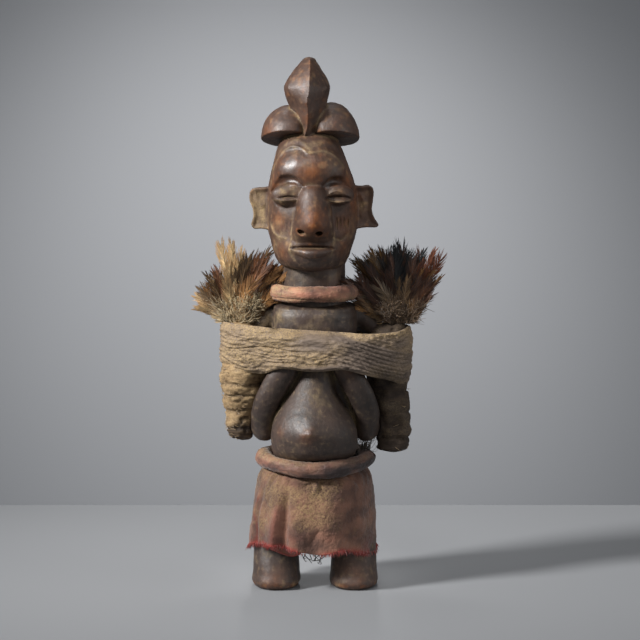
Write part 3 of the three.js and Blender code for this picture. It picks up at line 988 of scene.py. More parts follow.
def closed_away(corners, points):
    """How far outside a closed outline each flat point is."""
    gap, inside = np.full(len(points), np.inf), np.zeros(len(points), bool)
    for a, b in zip(corners, np.roll(corners, -1, axis=0)):
        step = b - a
        t = np.clip((points - a) @ step / (step @ step), 0, 1)
        gap = np.minimum(gap, ((points - a - t[:, None] * step) ** 2).sum(1))
        spans = (a[1] > points[:, 1]) != (b[1] > points[:, 1])
        if spans.any():
            meets = a[0] + (points[:, 1] - a[1]) / (step[1] if step[1] else 1e-9) * step[0]
            inside ^= spans & (points[:, 0] < meets)
    return np.where(inside, -1, 1) * np.sqrt(gap)


# An ear's outline and the fold on its face, from its middle: out from the head, then up
EARS = {
    -1: {
        "rim": [
            *([-5, 11], [3, 12.4], [8.6, 11.6], [10.4, 8.4], [10, 4], [8.2, -1]),
            *([8, -6], [9.2, -10], [7.4, -12.8], [3.6, -12.6], [-5, -11]),
        ],
        "ridge": [[6.6, 9], [5.2, 4.4], [2, 1.6]],
    },
    1: {
        "rim": [
            *([-5, 11.4], [2, 13.4], [6.4, 13.6], [8.6, 10.4], [8, 4], [7.4, -1]),
            *([9, -6], [11.6, -10.2], [10, -12], [4, -11.8], [-5, -10.4]),
        ],
        "ridge": [[0.4, 8], [2.6, 1], [0.6, -4]],
    },
}
EAR_TURN = math.radians(16)


def ear(side):
    """A thin plate with a rolled rim, a dished face and an upright fold."""
    rim = np.array(EARS[side]["rim"], float)
    outline = around([[i / len(rim), *corner] for i, corner in enumerate(rim)])(np.arange(44) / 44)
    fold = smooth_path(EARS[side]["ridge"], 10)

    def away(points):
        dx = side * (points[:, 0] - EAR_X) - EAR_SPREAD
        dy = points[:, 1] - EAR_Y
        out = dx * math.cos(EAR_TURN) + dy * math.sin(EAR_TURN)
        flat = np.column_stack([out, points[:, 2] - EAR_Z])
        front = dx * math.sin(EAR_TURN) - dy * math.cos(EAR_TURN)
        edge = closed_away(outline, flat)
        gap, _ = nearest_on(fold, flat)
        dish = 1.3 * smooth_step(-0.4, -3.4, edge) - 0.9 * np.exp(-gap / 2.6)
        return soft_max(soft_max(edge, front - 4.4 + dish, 1.2), -1 - front, 1.2)

    middle = np.array([EAR_X + side * EAR_SPREAD, EAR_Y, EAR_Z])
    return Form(away, middle - [13, 9, 15], middle + [13, 9, 15])


# Sections of the spearhead: height; then across, its left edge, left facet, keel, right facet and
# right edge; then front to back, its keel, facets, sides and back
SPEARHEAD = [
    [279, -9.4, -8, -7.2, -0.4, 3.6, -15.4, -10, -6, 22],
    [284, -10.6, -7.9, -7.2, 0.4, 4.2, -17.4, -11, -7, 23.4],
    [288.7, -12.8, -8.6, -6.9, 1.2, 5, -18.9, -11.8, -7, 24.6],
    [294.6, -15.6, -10.2, -5.8, 2.4, 6.4, -19.9, -12.2, -6.6, 26],
    [300.5, -17.2, -12.4, -4.6, 4, 8, -20, -11.8, -5.6, 26],
    [305, -18.5, -15.4, -3.7, 6.2, 9, -19.6, -11.2, -4.8, 25.6],
    [307.8, -18.9, -16.4, -3.4, 7.2, 9.3, -19.1, -10.6, -4.2, 24.8],
    [312.4, -16.8, -14.6, -3.2, 6, 8, -17.6, -8.8, -2.6, 21.6],
    [318.3, -12.8, -11.4, -3, 3.2, 4.4, -14.2, -5.6, -0.2, 16.6],
    [322.8, -8.8, -8.2, -3, 0.9, 1.4, -9.6, -2.6, 1.6, 12],
    [325.4, -6, -5.7, -3.1, -0.8, -0.6, -5.2, -0.4, 2.2, 7.6],
    [326.1, -4.4, -4.3, -3.3, -2.2, -2.1, -1.8, 0.6, 2.2, 5],
]


def spearhead():
    """The headdress's ridged point: two front facets that meet on a keel, with a bevel each side."""
    at = between(SPEARHEAD)
    bottom, top = SPEARHEAD[0][0], SPEARHEAD[-1][0]

    def away(points):
        x, y, z = points.T
        left, left_facet, keel, right_facet, right, keel_y, facet_y, side_y, back_y = at(
            np.clip(z, bottom, top)
        ).T
        middle = (left + right) / 2
        corners = [
            (left, side_y),
            (left_facet, facet_y),
            (keel, keel_y),
            (right_facet, facet_y),
            (right, side_y),
            (middle, back_y),
            (left, side_y),
        ]
        depth = None
        for (x0, y0), (x1, y1) in zip(corners, corners[1:]):
            beside = ((x - x0) * (y1 - y0) - (y - y0) * (x1 - x0)) / np.hypot(x1 - x0, y1 - y0)
            depth = beside if depth is None else soft_max(depth, beside, 0.3)
        return soft_max(depth, np.maximum(bottom - z, z - top), 1.2)

    return Form(away, [-19.5, -20, bottom], [10.5, 27, top])


def crest_steps():
    """The headdress: a dome each side, cut off flat below and bevelled in front, and the spearhead."""
    steps = []
    for side, spread, radii in ((-1, 12.4, [17.2, 21.6, 21.4]), (1, 13, [17.6, 21.6, 23])):
        dome = blob([CREST_X + side * spread, 4, 275.4], radii)
        under = flat_side([0, -17, 282.4], [0, -math.sin(0.3), -math.cos(0.3)])
        bevel = flat_side([CREST_X + side * 7.4, -15, 285], [-side, -0.85, 0.1])
        steps.append(("add", within(dome, [under, bevel], 0.9), 0.6))
    return steps + [("add", spearhead(), 0.5)]


def figure_steps():
    body = trunk_steps() + arm_steps(-1) + arm_steps(1)
    ears = [("add", ear(side), 1.2) for side in SIDES]
    return body + face_steps() + scar_steps() + ears + crest_steps()


# Worn and dusty places: [x, y, z, reach, strength], seen on the front
WORN_PLACES = [
    [-3, -27, 260, 7.5, 0.75],
    [-12, -26, 252, 4, 0.35],
    [1, -38, 229, 7.5, 0.8],
    [20, -16, 226, 8, 0.5],
    # These two lighten the shaded right temple and cheek: painted light
    [22, -12, 254, 8, 0.8],
    [24, -8, 238, 9, 0.6],
    [15, -12, 190, 7, 0.35],
    [-23, -18, 228, 5, 0.95],
    [-26, -12, 250, 7, 0.35],
    [-22, -20, 208, 6, 0.4],
    [18, -20, 212, 6, 0.35],
    [-24, -14, 262, 6, 0.35],
    [-6, -18, 288, 3.5, 0.7],
    [-27, -8, 280, 6, 0.5],
    [-2, -17, 324, 7, 0.3],
    [-22, -30, 103, 6, 0.3],
    [-4, -38, 99, 5, 0.35],
    [20, -22, 138, 6, 0.3],
    [24, -20, 8, 9, 0.3],
    [-26, -20, 6, 9, 0.3],
]
DUSTY_PLACES = [
    [-36, 2, 228, 9, 0.6],
    [-34, 2, 243, 4, 0.3],
    [28, -2, 236, 4, 0.4],
    [2, -28, 120, 9, 0.3],
    [6, -24, 134, 8, 0.4],
    [-29, -12, 166, 9, 0.6],
    [-36, 4, 162, 9, 0.8],
    [-13, -22, 271, 4, 0.3],
    [-2, -18, 276, 6, 0.35],
    [-16, -28, 80, 6, 0.5],
    [-19, -24, 234, 5, 0.4],
    [-14, -28, 216, 6, 0.55],
    [-5, -26, 262, 4, 0.25],
    [-17, -26, 247, 6, 0.5],
    [14, -26, 246, 5, 0.25],
    [-24, -18, 221, 8, 0.5],
    [-1, -24, 172, 10, 0.25],
    # This one lightens the shaded right of the neck: painted light
    [13, -16, 190, 8, 0.25],
    [-14, -14, 192, 7, 0.25],
    [22, -12, 262, 6, 0.25],
    [12, -22, 262, 6, 0.2],
    [22, -14, 224, 6, 0.25],
]

POLISHED_PLACES = [
    [-12, -24, 259, 13, 1],
    [-8, -40, 110, 12, 0.35],
    [8, -26, 254, 8, 0.7],
    [-9, -31, 242, 4.5, 0.6],
    [-10, -18, 306, 12, 0.25],
    [-20, -8, 288, 9, 0.9],
    [16, -14, 288, 8, 0.7],
    [-4, -30, 208, 7, 0.55],
    [-12, -20, 168, 9, 0.3],
    [12, -20, 166, 6, 0.7],
    [-8, -16, 190, 8, 0.8],
    [14, -14, 190, 5, 0.8],
    [-34, -6, 104, 8, 0.5],
]
# Where fine dust lies along the cuts
DUSTY_LINES = [line for line, *_ in FACE_LINES] + [
    HAIRLINE,
    SCALP_LINE,
    [[-24.4, 249.4], [-17.4, 250.6], [-10.4, 249]],
    [[-25, 241], [-18.4, 240.4], [-11, 241]],
    [[-9.6, 246], [-6, 250.4], [-1, 251], [3.4, 249.6]],
    [[8, 241], [14, 240], [21, 241]],
    [[-13.8, 224], [-14.4, 216], [-15.4, 210], [-12, 204.6]],
    [[11, 222], [11.8, 214], [9.4, 207]],
]
# Painted shade under the brows, under and between the lids, in the mouth and under the nose: a
# line, how far it spreads and how dark it is
PAINTED_SHADE_LINES = [
    ([[-7.6, 249], [-12.5, 252.4], [-18.5, 253], [-23.5, 250.4], [-26.6, 246]], 2.5, 0.95),
    ([[4.6, 247.6], [9.8, 250.8], [15.6, 251.4], [20.6, 249.2], [23.8, 245]], 3.8, 0.96),
    ([[-23, 237], [-17.6, 235.6], [-12, 237]], 2.1, 0.85),
    ([[7.6, 236.4], [14, 235.2], [21, 236.4]], 3.2, 0.85),
    ([[-21, 242.7], [-16, 243.2], [-10.4, 242.6]], 0.6, 0.8),
    ([[7.4, 242.6], [14.2, 243.2], [20.8, 242.4]], 1.5, 1),
    (SLIT, 0.9, 1),
    ([[-11, 214.6], [-2, 215.4], [9, 214.6]], 1.5, 0.6),
    ([[-10, 219.6], [-2, 218.4], [7, 219.6]], 2.0, 0.6),
]
# Painted shade in spots: on the arms, the right and lower belly, the legs, the chin and the nose tip
PAINTED_SHADE_PLACES = [
    [30, -14, 116, 17, 0.75],
    [22, -18, 138, 12, 0.5],
    [17, -22, 92, 13, 0.55],
    [0, -30, 80, 9, 0.65],
    [-30, -12, 112, 13, 0.35],
    [-26, -20, 20, 16, 0.45],
    [0, -30, 206, 8, 0.3],
    [0, -40, 229, 12, 0.95],
    [20, -20, 12, 14, 0.2],
]


def paint(points, places):
    """Spots that fade out from their middles."""
    total = np.zeros(len(points))
    for x, y, z, reach, strength in places:
        gap = np.linalg.norm(points - [x, y, z], axis=1)
        total = np.maximum(total, strength * np.exp(-((gap / reach) ** 2)))
    return total


def openness(steps, points, outward):
    """How far each place lies in a hollow, and how far it stands on an edge, from 0 to 1."""
    hollow, edge = np.zeros(len(points)), np.zeros(len(points))
    for reach, weight in ((1.0, 0.3), (2.4, 0.4), (5.0, 0.3)):
        open_by = measure(steps, points + outward * reach, 8.0)
        hollow += weight * np.clip(1 - open_by / reach, 0, 1)
    for reach in (0.8, 1.8):
        edge += 0.5 * np.clip(1 + measure(steps, points - outward * reach) / reach, 0, 1)
    return hollow, edge


def carve_figure(cell):
    """The carving, with what shows of wear, dust, painted shade and polish at each of its points;
    some of the wear and dust is painted light.
    """
    steps = figure_steps()
    low = np.min([form.low for kind, form, _ in steps if kind == "add"], axis=0)
    high = np.max([form.high for kind, form, _ in steps if kind == "add"], axis=0)
    points, triangles = carve(steps, low, high, cell)
    outward, _ = directions(steps, points)
    hollow, edge = openness(steps, points, outward)
    lumps = noise(points, 7, 3, 3)
    patches = noise(points, 3.2, 3, 11)
    fine = noise(points, 1.4, 2, 8)
    ears = smooth_step(27.5, 31, np.abs(points[:, 0] - EAR_X)) * bump_at(points[:, 2], EAR_Z, 16)
    low_edge = smooth_step(5.5, 0.8, points[:, 2]) * smooth_step(-0.9, -0.2, outward[:, 2])
    chips = low_edge * smooth_step(-0.15, 0.35, noise(points, 2.6, 2, 21))
    worn = paint(points, WORN_PLACES) * (0.75 + 0.35 * lumps)
    worn += smooth_step(0.42, 0.8, edge) * (0.35 + 0.4 * lumps) + 0.9 * chips
    upward = smooth_step(-0.6, 0.25, outward[:, 2])
    dust = 0.75 * smooth_step(0.3, 0.8, hollow) * (0.75 + 0.5 * lumps) * upward
    dust += paint(points, DUSTY_PLACES) * (0.6 + 0.4 * lumps + 0.9 * patches)
    # The left ear gets far more dust than the right, which keeps the shaded right ear dark: dust, and
    # partly painted shade
    dust += ears * np.where(points[:, 0] < 0, 0.45, 0.05) * smooth_step(0, -0.5, outward[:, 1])
    film = 1 + smooth_step(192, 205, points[:, 2]) + smooth_step(45, 32, points[:, 2])
    dust += 0.13 * film * smooth_step(0.5, 1.2, 0.5 * lumps + patches)
    dust += 0.6 * chips * smooth_step(0, 0.6, patches)
    facing = smooth_step(-0.1, -0.5, outward[:, 1])
    for line in DUSTY_LINES:
        gap, _ = nearest_on(smooth_path(line, 16), points[:, [0, 2]])
        dust += 0.42 * facing * np.exp(-gap / 0.45) * (0.75 + 0.7 * patches)
    worn += (0.14 + 0.3 * smooth_step(0.35, 0.9, patches)) * smooth_step(195, 215, points[:, 2])
    relief = 0.16 * noise(points, 5.5, 2, 5) + 0.05 * fine - 0.6 * chips
    relief *= smooth_step(0.2, 2.0, points[:, 2])
    points = points + outward * relief[:, None]
    points[:, 2] = np.maximum(points[:, 2], 0)
    # Painted shade: darker in the deepest hollows, and along the lines and in the spots below
    shade = smooth_step(0.45, 1.0, hollow)
    for line, spread, strength in PAINTED_SHADE_LINES:
        gap, _ = nearest_on(smooth_path(line, 16), points[:, [0, 2]])
        painted_shade = strength * facing * np.exp(-gap / spread**2)
        shade, dust = np.maximum(shade, painted_shade), dust * (1 - painted_shade)
    shade = np.maximum(shade, paint(points, PAINTED_SHADE_PLACES))
    polish = paint(points, POLISHED_PLACES) * (0.95 + 0.12 * patches)
    values = {"worn": worn, "dust": dust, "shade": shade, "polish": polish}
    values = {key: np.clip(data, 0, 1) for key, data in values.items()}
    return add_object("figure_carving", points, triangles, values)


# Rings


def ring_piece(name, turns, laps, shape):
    """A closed ring. shape(turn, lap) gives its places round the ring and round its tube, in
    millimetres, with their dust, which carries some painted light, and their painted shade."""
    turn, lap = np.meshgrid(np.arange(turns) / turns, np.arange(laps) / laps, indexing="ij")
    points, dust, shade = shape(turn.ravel(), lap.ravel())
    values = {"dust": np.clip(dust, 0, 1), "shade": np.clip(shade, 0, 1)}
    return add_object(name, points, mesh_grid(turns, laps, True, True), values)


def neck_skin(turn, lap):
    """The neck's ring: an oval roll with a seam low on its outer side."""
    middle, half = node_box("neck_ring")
    thick, tall = 4.3, 4.9
    reach = half[:2] - thick + 0.3
    around_xy = np.stack([np.cos(TAU * turn), np.sin(TAU * turn)], 1)
    on_ring = np.column_stack([around_xy * 26, 12 * np.sin(TAU * lap)])
    swell = 0.5 * noise(on_ring, 9, 2, 31) + 0.18 * noise(on_ring, 1.6, 3, 32)
    seam = -0.7 * bump_at(lap, 0.88 + 0.03 * np.sin(TAU * turn * 2), 0.018)
    out = (thick + swell + seam) * np.cos(TAU * lap)
    points = np.column_stack(
        [
            middle[0] + (reach[0] + out) * around_xy[:, 0],
            middle[1] + (reach[1] + out) * around_xy[:, 1],
            middle[2] + (tall + swell + seam) * np.sin(TAU * lap),
        ]
    )
    points[:, 2] += 0.4 * noise(np.column_stack([around_xy * 20, 0 * turn]), 14, 1, 33)
    dust = 0.1 + 0.35 * noise(on_ring, 6, 3, 34) + 0.5 * bump_at(lap, 0.88, 0.05)
    # Dust on the crown, and more on the left where the light falls: partly painted light
    dust += 0.35 * smooth_step(0.2, 0.9, np.sin(TAU * lap)) * smooth_step(0.5, -0.5, around_xy[:, 0])
    dust += 0.3 * smooth_step(-0.1, -0.8, around_xy[:, 0])
    # Painted shade on the right, away from the light
    shade = (0.25 + 0.3 * noise(on_ring, 8, 2, 35)) * smooth_step(-0.6, 0.1, around_xy[:, 0])
    return points, dust, shade


def belt_height(turn):
    """How high the waist ring's middle line lies: it dips in front."""
    return WAIST_HIGH - 2.6 * np.maximum(0, -np.sin(TAU * turn)) ** 2


def waist_skin(turn, lap):
    """The waist's ring: strips of cloth wound slantwise round the tube."""
    around_xy = np.stack([np.cos(TAU * turn), np.sin(TAU * turn)], 1)
    on_ring = np.column_stack([around_xy * 34, 12 * np.sin(TAU * lap)])
    twist = TAU * (lap + 1.5 * turn)
    swell = 0.5 * noise(on_ring, 9, 2, 41) + 0.2 * noise(on_ring, 1.6, 3, 42)
    groove = np.exp(-((np.cos(0.5 * twist + 0.5 * noise(on_ring, 18, 1, 43)) / 0.11) ** 2))
    swell += 0.3 * np.cos(2 * twist) - 1.1 * groove
    swell += 0.9 * bump_at(turn, 0.53, 0.04) - 0.5 * bump_at(turn, 0.86, 0.012)
    out = (WAIST_TUBE + swell) * np.cos(TAU * lap)
    height = belt_height(turn) + (WAIST_TUBE + swell) * np.sin(TAU * lap)
    across = WAIST_X + (31.7 + out) * around_xy[:, 0]
    points = np.column_stack([across, WAIST_Y + (31 + out) * around_xy[:, 1], height])
    lit = smooth_step(0.5, -0.8, around_xy[:, 0])
    dust = 0.05 + 0.35 * noise(on_ring, 7, 3, 44) + 0.3 * groove
    # Dust on the crown, with more on the lit left: partly painted light
    dust += (0.25 + 0.5 * lit) * smooth_step(0.2, 0.9, np.sin(TAU * lap)) + 0.15 * lit
    # Painted shade on the right and underneath
    under = smooth_step(0.75, -0.1, np.sin(TAU * lap))
    shade = 0.72 - 0.4 * lit + (0.28 - 0.2 * lit) * under + 0.25 * noise(on_ring, 8, 2, 45) * under
    return points, dust, shade


# The wound band


def squared(angle, power):
    """Places round an oval of half width 1 that is squarer than an ellipse."""
    places = np.stack([np.cos(angle), np.sin(angle)])
    return np.sign(places) * np.abs(places) ** (2 / power)


# The band's lower and upper edge, by turn
BAND_EDGES = [
    [0, 125.6, 161],
    [0.12, 133, 161],
    [0.25, 136, 162],
    [0.38, 137, 163],
    [0.48, 136.6, 164.2],
    [0.6, 134.6, 164.4],
    [0.655, 134.6, 163.8],
    [0.695, 138.4, 162.6],
    [0.75, 137, 161.4],
    [0.79, 138, 160.4],
    [0.83, 134.4, 159.6],
    [0.9, 130, 159.4],
]
BAND_X, BAND_WIDE, BAND_DEEP = 0.4, 59.2, 29.6
CORD_PITCH = 2.5
PLY_STEP = 3.2


def band_mesh():
    """The band's skin: plied cords that sweep down to the right, crusted fibre, a rolled lower hem."""
    turns, outer, inner = 700, 120, 6
    turn = np.arange(turns) / turns
    low, high = around(BAND_EDGES)(turn).T
    across, through = squared(TAU * turn, 2.2)
    x = BAND_WIDE * across
    front = smooth_step(0.3, -0.4, through)
    left = smooth_step(-4, -26, x)
    slope = 0.34 * np.clip(x - 10, 0, None) * front + 0.05 * np.clip(x + 4, None, 0)
    length = np.cumsum(np.hypot(np.diff(x, prepend=x[0]), np.diff(BAND_DEEP * through, prepend=0)))
    tuck = (6.5 * smooth_step(-20, -40, x) + 5 * smooth_step(26, 42, x)) * front
    lean = (4.5 * smooth_step(30, 22, np.abs(x)) + 1.5) * front
    rows, values = [], {"pit": [], "dust": [], "rubbed": []}
    for share in np.linspace(0, 1, outer):
        height = low + share * (high - low)
        spot = np.column_stack([x, BAND_DEEP * through, height])
        wander = noise(spot, (24, 24, 10), 2, 51)
        level = (height + slope + 0.9 * wander) / CORD_PITCH
        cord = np.abs(np.sin(math.pi * level)) ** 0.8
        hatch = np.sin(TAU * (length / PLY_STEP + 0.6 * level))
        sheet = smooth_step(1.5, -1.5, height - 160 + 0.31 * (x - 13)) * smooth_step(8, 20, x)
        corded = sheet * smooth_step(0.0, 0.12, share) * (0.7 + 0.3 * noise(spot, 11, 1, 57))
        corded = np.where(front > 0.5, corded, 0.7)
        smoothed = bump_at(x, -6, 20) * smooth_step(146, 151, height) * front
        ripple = np.sin(TAU * (level * 0.7 + 1.1 * wander)) * (1 - corded)
        crust = noise(spot, (3.2, 3.2, 1.8), 3, 52)
        lumps = noise(spot, (13, 13, 8), 2, 53)
        roll = bump_at(share, 0.075, 0.06) * bump_at(x, -1, 20) * front
        under = bump_at(share, 0.17, 0.035) * bump_at(x, -1, 20) * front
        ledge = smooth_step(0.8, -0.8, height - 159.5 + 0.31 * (x - 13))
        ledge = ledge * smooth_step(8, 20, x) * front
        groove = bump_at(height, 150.4 + 1.2 * np.sin(x / 7), 0.6) * left * front
        out = corded * (0.75 * cord + 0.22 * hatch * cord - 0.2) + 0.5 * ledge
        out += (1 - 0.75 * corded) * (1 - 0.7 * smoothed) * (0.55 * crust + 0.2 * ripple)
        out += 0.8 * lumps + 1.9 * roll - 0.5 * under - 0.9 * groove + 0.25 * smoothed * ripple
        out -= tuck * (1 - share) ** 2 + 1.6 * (2 * share - 1) ** 8
        out -= lean * smooth_step(0.7, 1, share) ** 2
        rows.append(np.column_stack([BAND_X + x + out * across, (BAND_DEEP + out) * through, height]))
        # Painted shade in the grooves between cords, round the rolled hem, in the crust's hollows and
        # along the lower edge at the right
        pit = 0.7 * (1 - cord) * corded + 0.45 * roll + 0.5 * under + 0.5 * groove
        pit += (1 - corded) * (1 - smoothed) * 0.5 * smooth_step(0.3, 1.0, -crust)
        pit += 0.6 * smooth_step(0.3, 0.0, share) * smooth_step(30, 44, x) * front
        values["pit"].append(np.clip(pit, 0, 1))
        # More dust on the left and left of the middle, where the light falls: partly crust, partly
        # painted light
        dust = 0.3 + 0.5 * left + 0.4 * lumps - 0.35 * corded - 0.3 * smoothed - 0.4 * roll
        dust += 0.7 * bump_at(x, -19, 12) * bump_at(height, 152, 6) * front
        dust += 0.45 * bump_at(height, 145.5, 4.5) * bump_at(x, 4, 18) * front
        dust += 0.3 * (1 - ledge) * smooth_step(12, 24, x) * front
        dust += 0.5 * smooth_step(0.86, 0.97, share) * front
        values["dust"].append(np.clip(dust, 0, 1))
        # A painted highlight left of the middle near the top edge, laid into the dust; the same spot is
        # rubbed smoother
        glint = bump_at(x, -13, 7) * bump_at(height, 158.6, 2.4)
        values["dust"][-1] += 0.4 * glint * front
        values["rubbed"].append(np.clip(0.4 * smoothed + glint * front + 0.3 * corded * cord, 0, 1))
    for share in np.linspace(1, 0, inner):
        height = low + share * (high - low)
        shrink = 2.3 + tuck * (1 - share) ** 2 + lean * smooth_step(0.7, 1, share) ** 2
        places = [BAND_X + x - shrink * across, (BAND_DEEP - shrink) * through, height]
        rows.append(np.column_stack(places))
        for key in values:
            values[key].append(np.zeros(turns))
    faces = mesh_grid(outer + inner, turns, True, True)[:, ::-1]
    values = {key: np.concatenate(data) for key, data in values.items()}
    return add_object("chest_band_wrap", np.concatenate(rows), faces, values)


# Bundles


# A bundle's sections: height, middle, half width, front and back
BUNDLES = {
    "left_bundle": [
        [90.6, -45.2, 4.6, 0, 8],
        [92, -45.4, 6.6, -3, 11],
        [95, -45.6, 7.4, -4.4, 12.4],
        [99.6, -46.4, 8.2, -5, 13],
        [106, -46, 8, -4.8, 13],
        [112, -45, 10.8, -6.4, 14],
        [118, -44.4, 12.8, -9.4, 15],
        [126, -43.8, 14.4, -12.6, 15.6],
        [132, -43.4, 14.8, -13.6, 15.6],
        [138, -43, 14.2, -11.6, 15],
        [144, -43.8, 11.6, -7.8, 14],
        [158, -45, 10.4, -7.4, 14],
        [163.4, -46, 9.4, -5.6, 12.4],
    ],
    "right_bundle": [
        [81.6, 47.4, 5.4, -0.6, 9],
        [83, 47.4, 8.6, -4, 12],
        [87.6, 47.8, 10, -5.4, 13.4],
        [97, 48.2, 10.5, -6, 14],
        [106, 48, 11, -6.6, 14.4],
        [112, 46.6, 12, -7.4, 15],
        [119, 45.4, 12.8, -8.2, 15.6],
        [126, 44, 12.4, -8.2, 15],
        [133, 43.4, 11.8, -8, 14.6],
        [141, 43.6, 11.6, -7.8, 14.4],
        [158, 45.2, 10.6, -7.4, 14],
        [163, 46.8, 9.4, -5.6, 12.4],
    ],
}


def bundle_piece(node, side, ties, crusty, seed):
    """A wrapped packet: cord ties pull it in, lumps and fibre swell between them."""
    form = levels(BUNDLES[node], soft=5.0)
    near_arm = arm_forms(side, ARM_ROOM)
    steps = [("add", form, 0)] + [("cut", arm, 0.6) for arm in near_arm]
    points, triangles = carve(steps, form.low, form.high, 1.0, rounds=1, flaw=0.05, shortest=0.8)
    outward, _ = directions(steps, points)
    clear = np.min([arm.away(points) for arm in near_arm], axis=0)
    free = smooth_step(0.1, 2.2, clear)
    height = points[:, 2] + 1.6 * noise(points, 13, 1, seed) + 0.05 * side * points[:, 0]
    wraps = np.abs(np.sin(math.pi * height / 3.1 + 1.6 * noise(points, 7, 1, seed + 1))) ** 0.7
    lumps = noise(points, (11, 11, 8), 2, seed + 2)
    crust = noise(points, (2.8, 2.8, 1.6), 3, seed + 3)
    pits = smooth_step(0.6, 0.95, noise(points, (6, 6, 4), 2, seed + 4))
    tie = sum(bump_at(height, place, 0.9) for place in ties)
    relief = crusty * (0.25 * wraps + 0.45 * crust) + 1.6 * lumps - 1.2 * tie - 1.1 * pits - 0.1
    points = points + outward * (free * np.clip(relief, -2.4, 1.6))[:, None]
    bottom = BUNDLES[node][0][0]
    tip = smooth_step(bottom + 14, bottom + 7, points[:, 2] + 2 * lumps)
    # Painted shade in the ties, the pits, the crust's hollows and between the wraps; the bottom tip is
    # darker as well
    pit = 0.6 * tie + 0.7 * pits + 0.45 * smooth_step(0.3, 0.9, -crust)
    pit += 0.25 * (1 - wraps) + 0.8 * tip
    dust = crusty * (0.5 + 0.5 * lumps + 0.25 * crust) * (1 - tip) * free
    rubbed = 0.35 * smooth_step(0.3, 0.8, lumps)
    values = {"pit": pit, "dust": dust, "rubbed": rubbed}
    values = {key: np.clip(data, 0, 1) for key, data in values.items()}
    return add_object(node + "_wraps", points, triangles, values)


# Feathers


def clumped(rng, count, groups):
    """Numbers that drift together, as barbs that cling to each other do."""
    turns = rng.uniform(-1, 1, groups + 1)
    return np.interp(np.linspace(0, groups, count), np.arange(groups + 1), turns)


# A barb's joints: share of its length to the last one, share of its splay, half its breadth
BARB = [(0.0, 1, 0.17), (0.4, 0.9, 0.2), (0.35, 0.62, 0.15), (0.25, 0.4, 0)]
BARB_POINTS = 7
BARBS_PER_MM = 1.9


def feather(rng, root, lean, length, curl, wide, tints, facing):
    """A shaft and two vanes of barbs. tints are its colours at the foot, the middle and the rim."""
    up = np.array([math.sin(lean), 0, math.cos(lean)])
    aside = np.array([math.cos(lean), 0, -math.sin(lean)])
    s = np.linspace(0, 1, 14)[:, None]
    nod = np.array([0, rng.uniform(-0.26, 0.16) * length, 0])
    curl = curl + rng.uniform(-0.12, 0.12) * length
    spine = np.array(root) + up * length * (0.9 * s - 0.12 * (abs(curl) / length) * s**3)
    spine = spine + aside * curl * s**2.2 + nod * s**2
    along = np.gradient(spine, axis=0)
    along /= np.linalg.norm(along, axis=1, keepdims=True)
    side = np.cross(along, facing)
    side /= np.linalg.norm(side, axis=1, keepdims=True)
    lift = np.cross(side, along)
    foot, middle, rim = (np.array(tint) for tint in tints)
    thick = np.interp(s[:, 0], [0, 1], [0.32, 0.08])[:, None]
    points = [spine + step * thick for step in (side, lift, -side, -lift)]
    faces = [mesh_grid(4, len(s), True, False)]
    quill = foot * (1 - s) ** 2 + 0.7 * middle * (1 - (1 - s) ** 2)
    colours = [np.tile(quill, (4, 1))]
    number = 4 * len(s)
    barbs = int(length * BARBS_PER_MM)
    for sign in SIDES:
        t = np.linspace(0.05, 0.99, barbs)
        start, ahead, out, rise = (
            np.stack([np.interp(t, s[:, 0], column) for column in rows.T], 1)
            for rows in (spine, along, side * sign, lift)
        )
        downy = smooth_step(0.3, 0.08, t)
        splay = np.interp(t, [0, 0.3, 0.7, 1], [60, 44, 34, 20]) + 9 * clumped(rng, barbs, 9)
        splay = np.radians(splay + rng.uniform(-9, 9, barbs) + downy * rng.uniform(-30, 30, barbs))
        long = 2.1 * wide * np.interp(t, [0, 0.15, 0.45, 0.85, 1], [0.6, 0.9, 1, 0.95, 0.75])
        long *= 1 + 0.25 * clumped(rng, barbs, 8) + rng.uniform(-0.2, 0.2, barbs)
        bend = -0.12 + 0.2 * clumped(rng, barbs, 7) + rng.uniform(-0.12, 0.12, barbs)
        bend += 0.35 * downy * rng.uniform(-1, 1, barbs)
        place, rows = start, []
        for share, turn, breadth in BARB:
            aim = out * np.sin(splay * turn)[:, None] + ahead * np.cos(splay * turn)[:, None]
            place = place + aim * (share * long)[:, None] + rise * (share * bend * long)[:, None]
            across = np.cross(aim, rise) * breadth
            rows += [place - across, place + across] if breadth else [place]
        points.append(np.stack(rows, 1).reshape(-1, 3))
        first = number + BARB_POINTS * np.arange(barbs)[:, None]
        faces += [first + np.array(corners) for corners in ([0, 1, 3, 2], [2, 3, 5, 4], [4, 5, 6])]
        number += BARB_POINTS * barbs
        share = np.interp(t, [0, 0.22, 0.5, 1], [0, 0.4, 1, 1])[:, None]
        tone = (foot * (1 - share) + middle * share) * rng.uniform(0.6, 1.3, barbs)[:, None]
        tone *= (1 + 0.45 * clumped(rng, barbs, 10))[:, None]
        edge = share * rim * (1 + 0.3 * clumped(rng, barbs, 6))[:, None] + (1 - share) * tone
        blend = [0, 0, 0.25, 0.25, 0.6, 0.6, 1]
        colours.append(np.stack([(1 - b) * tone + b * edge for b in blend], 1).reshape(-1, 3))
    return np.concatenate(points), [list(f) for group in faces for f in group], np.concatenate(colours)


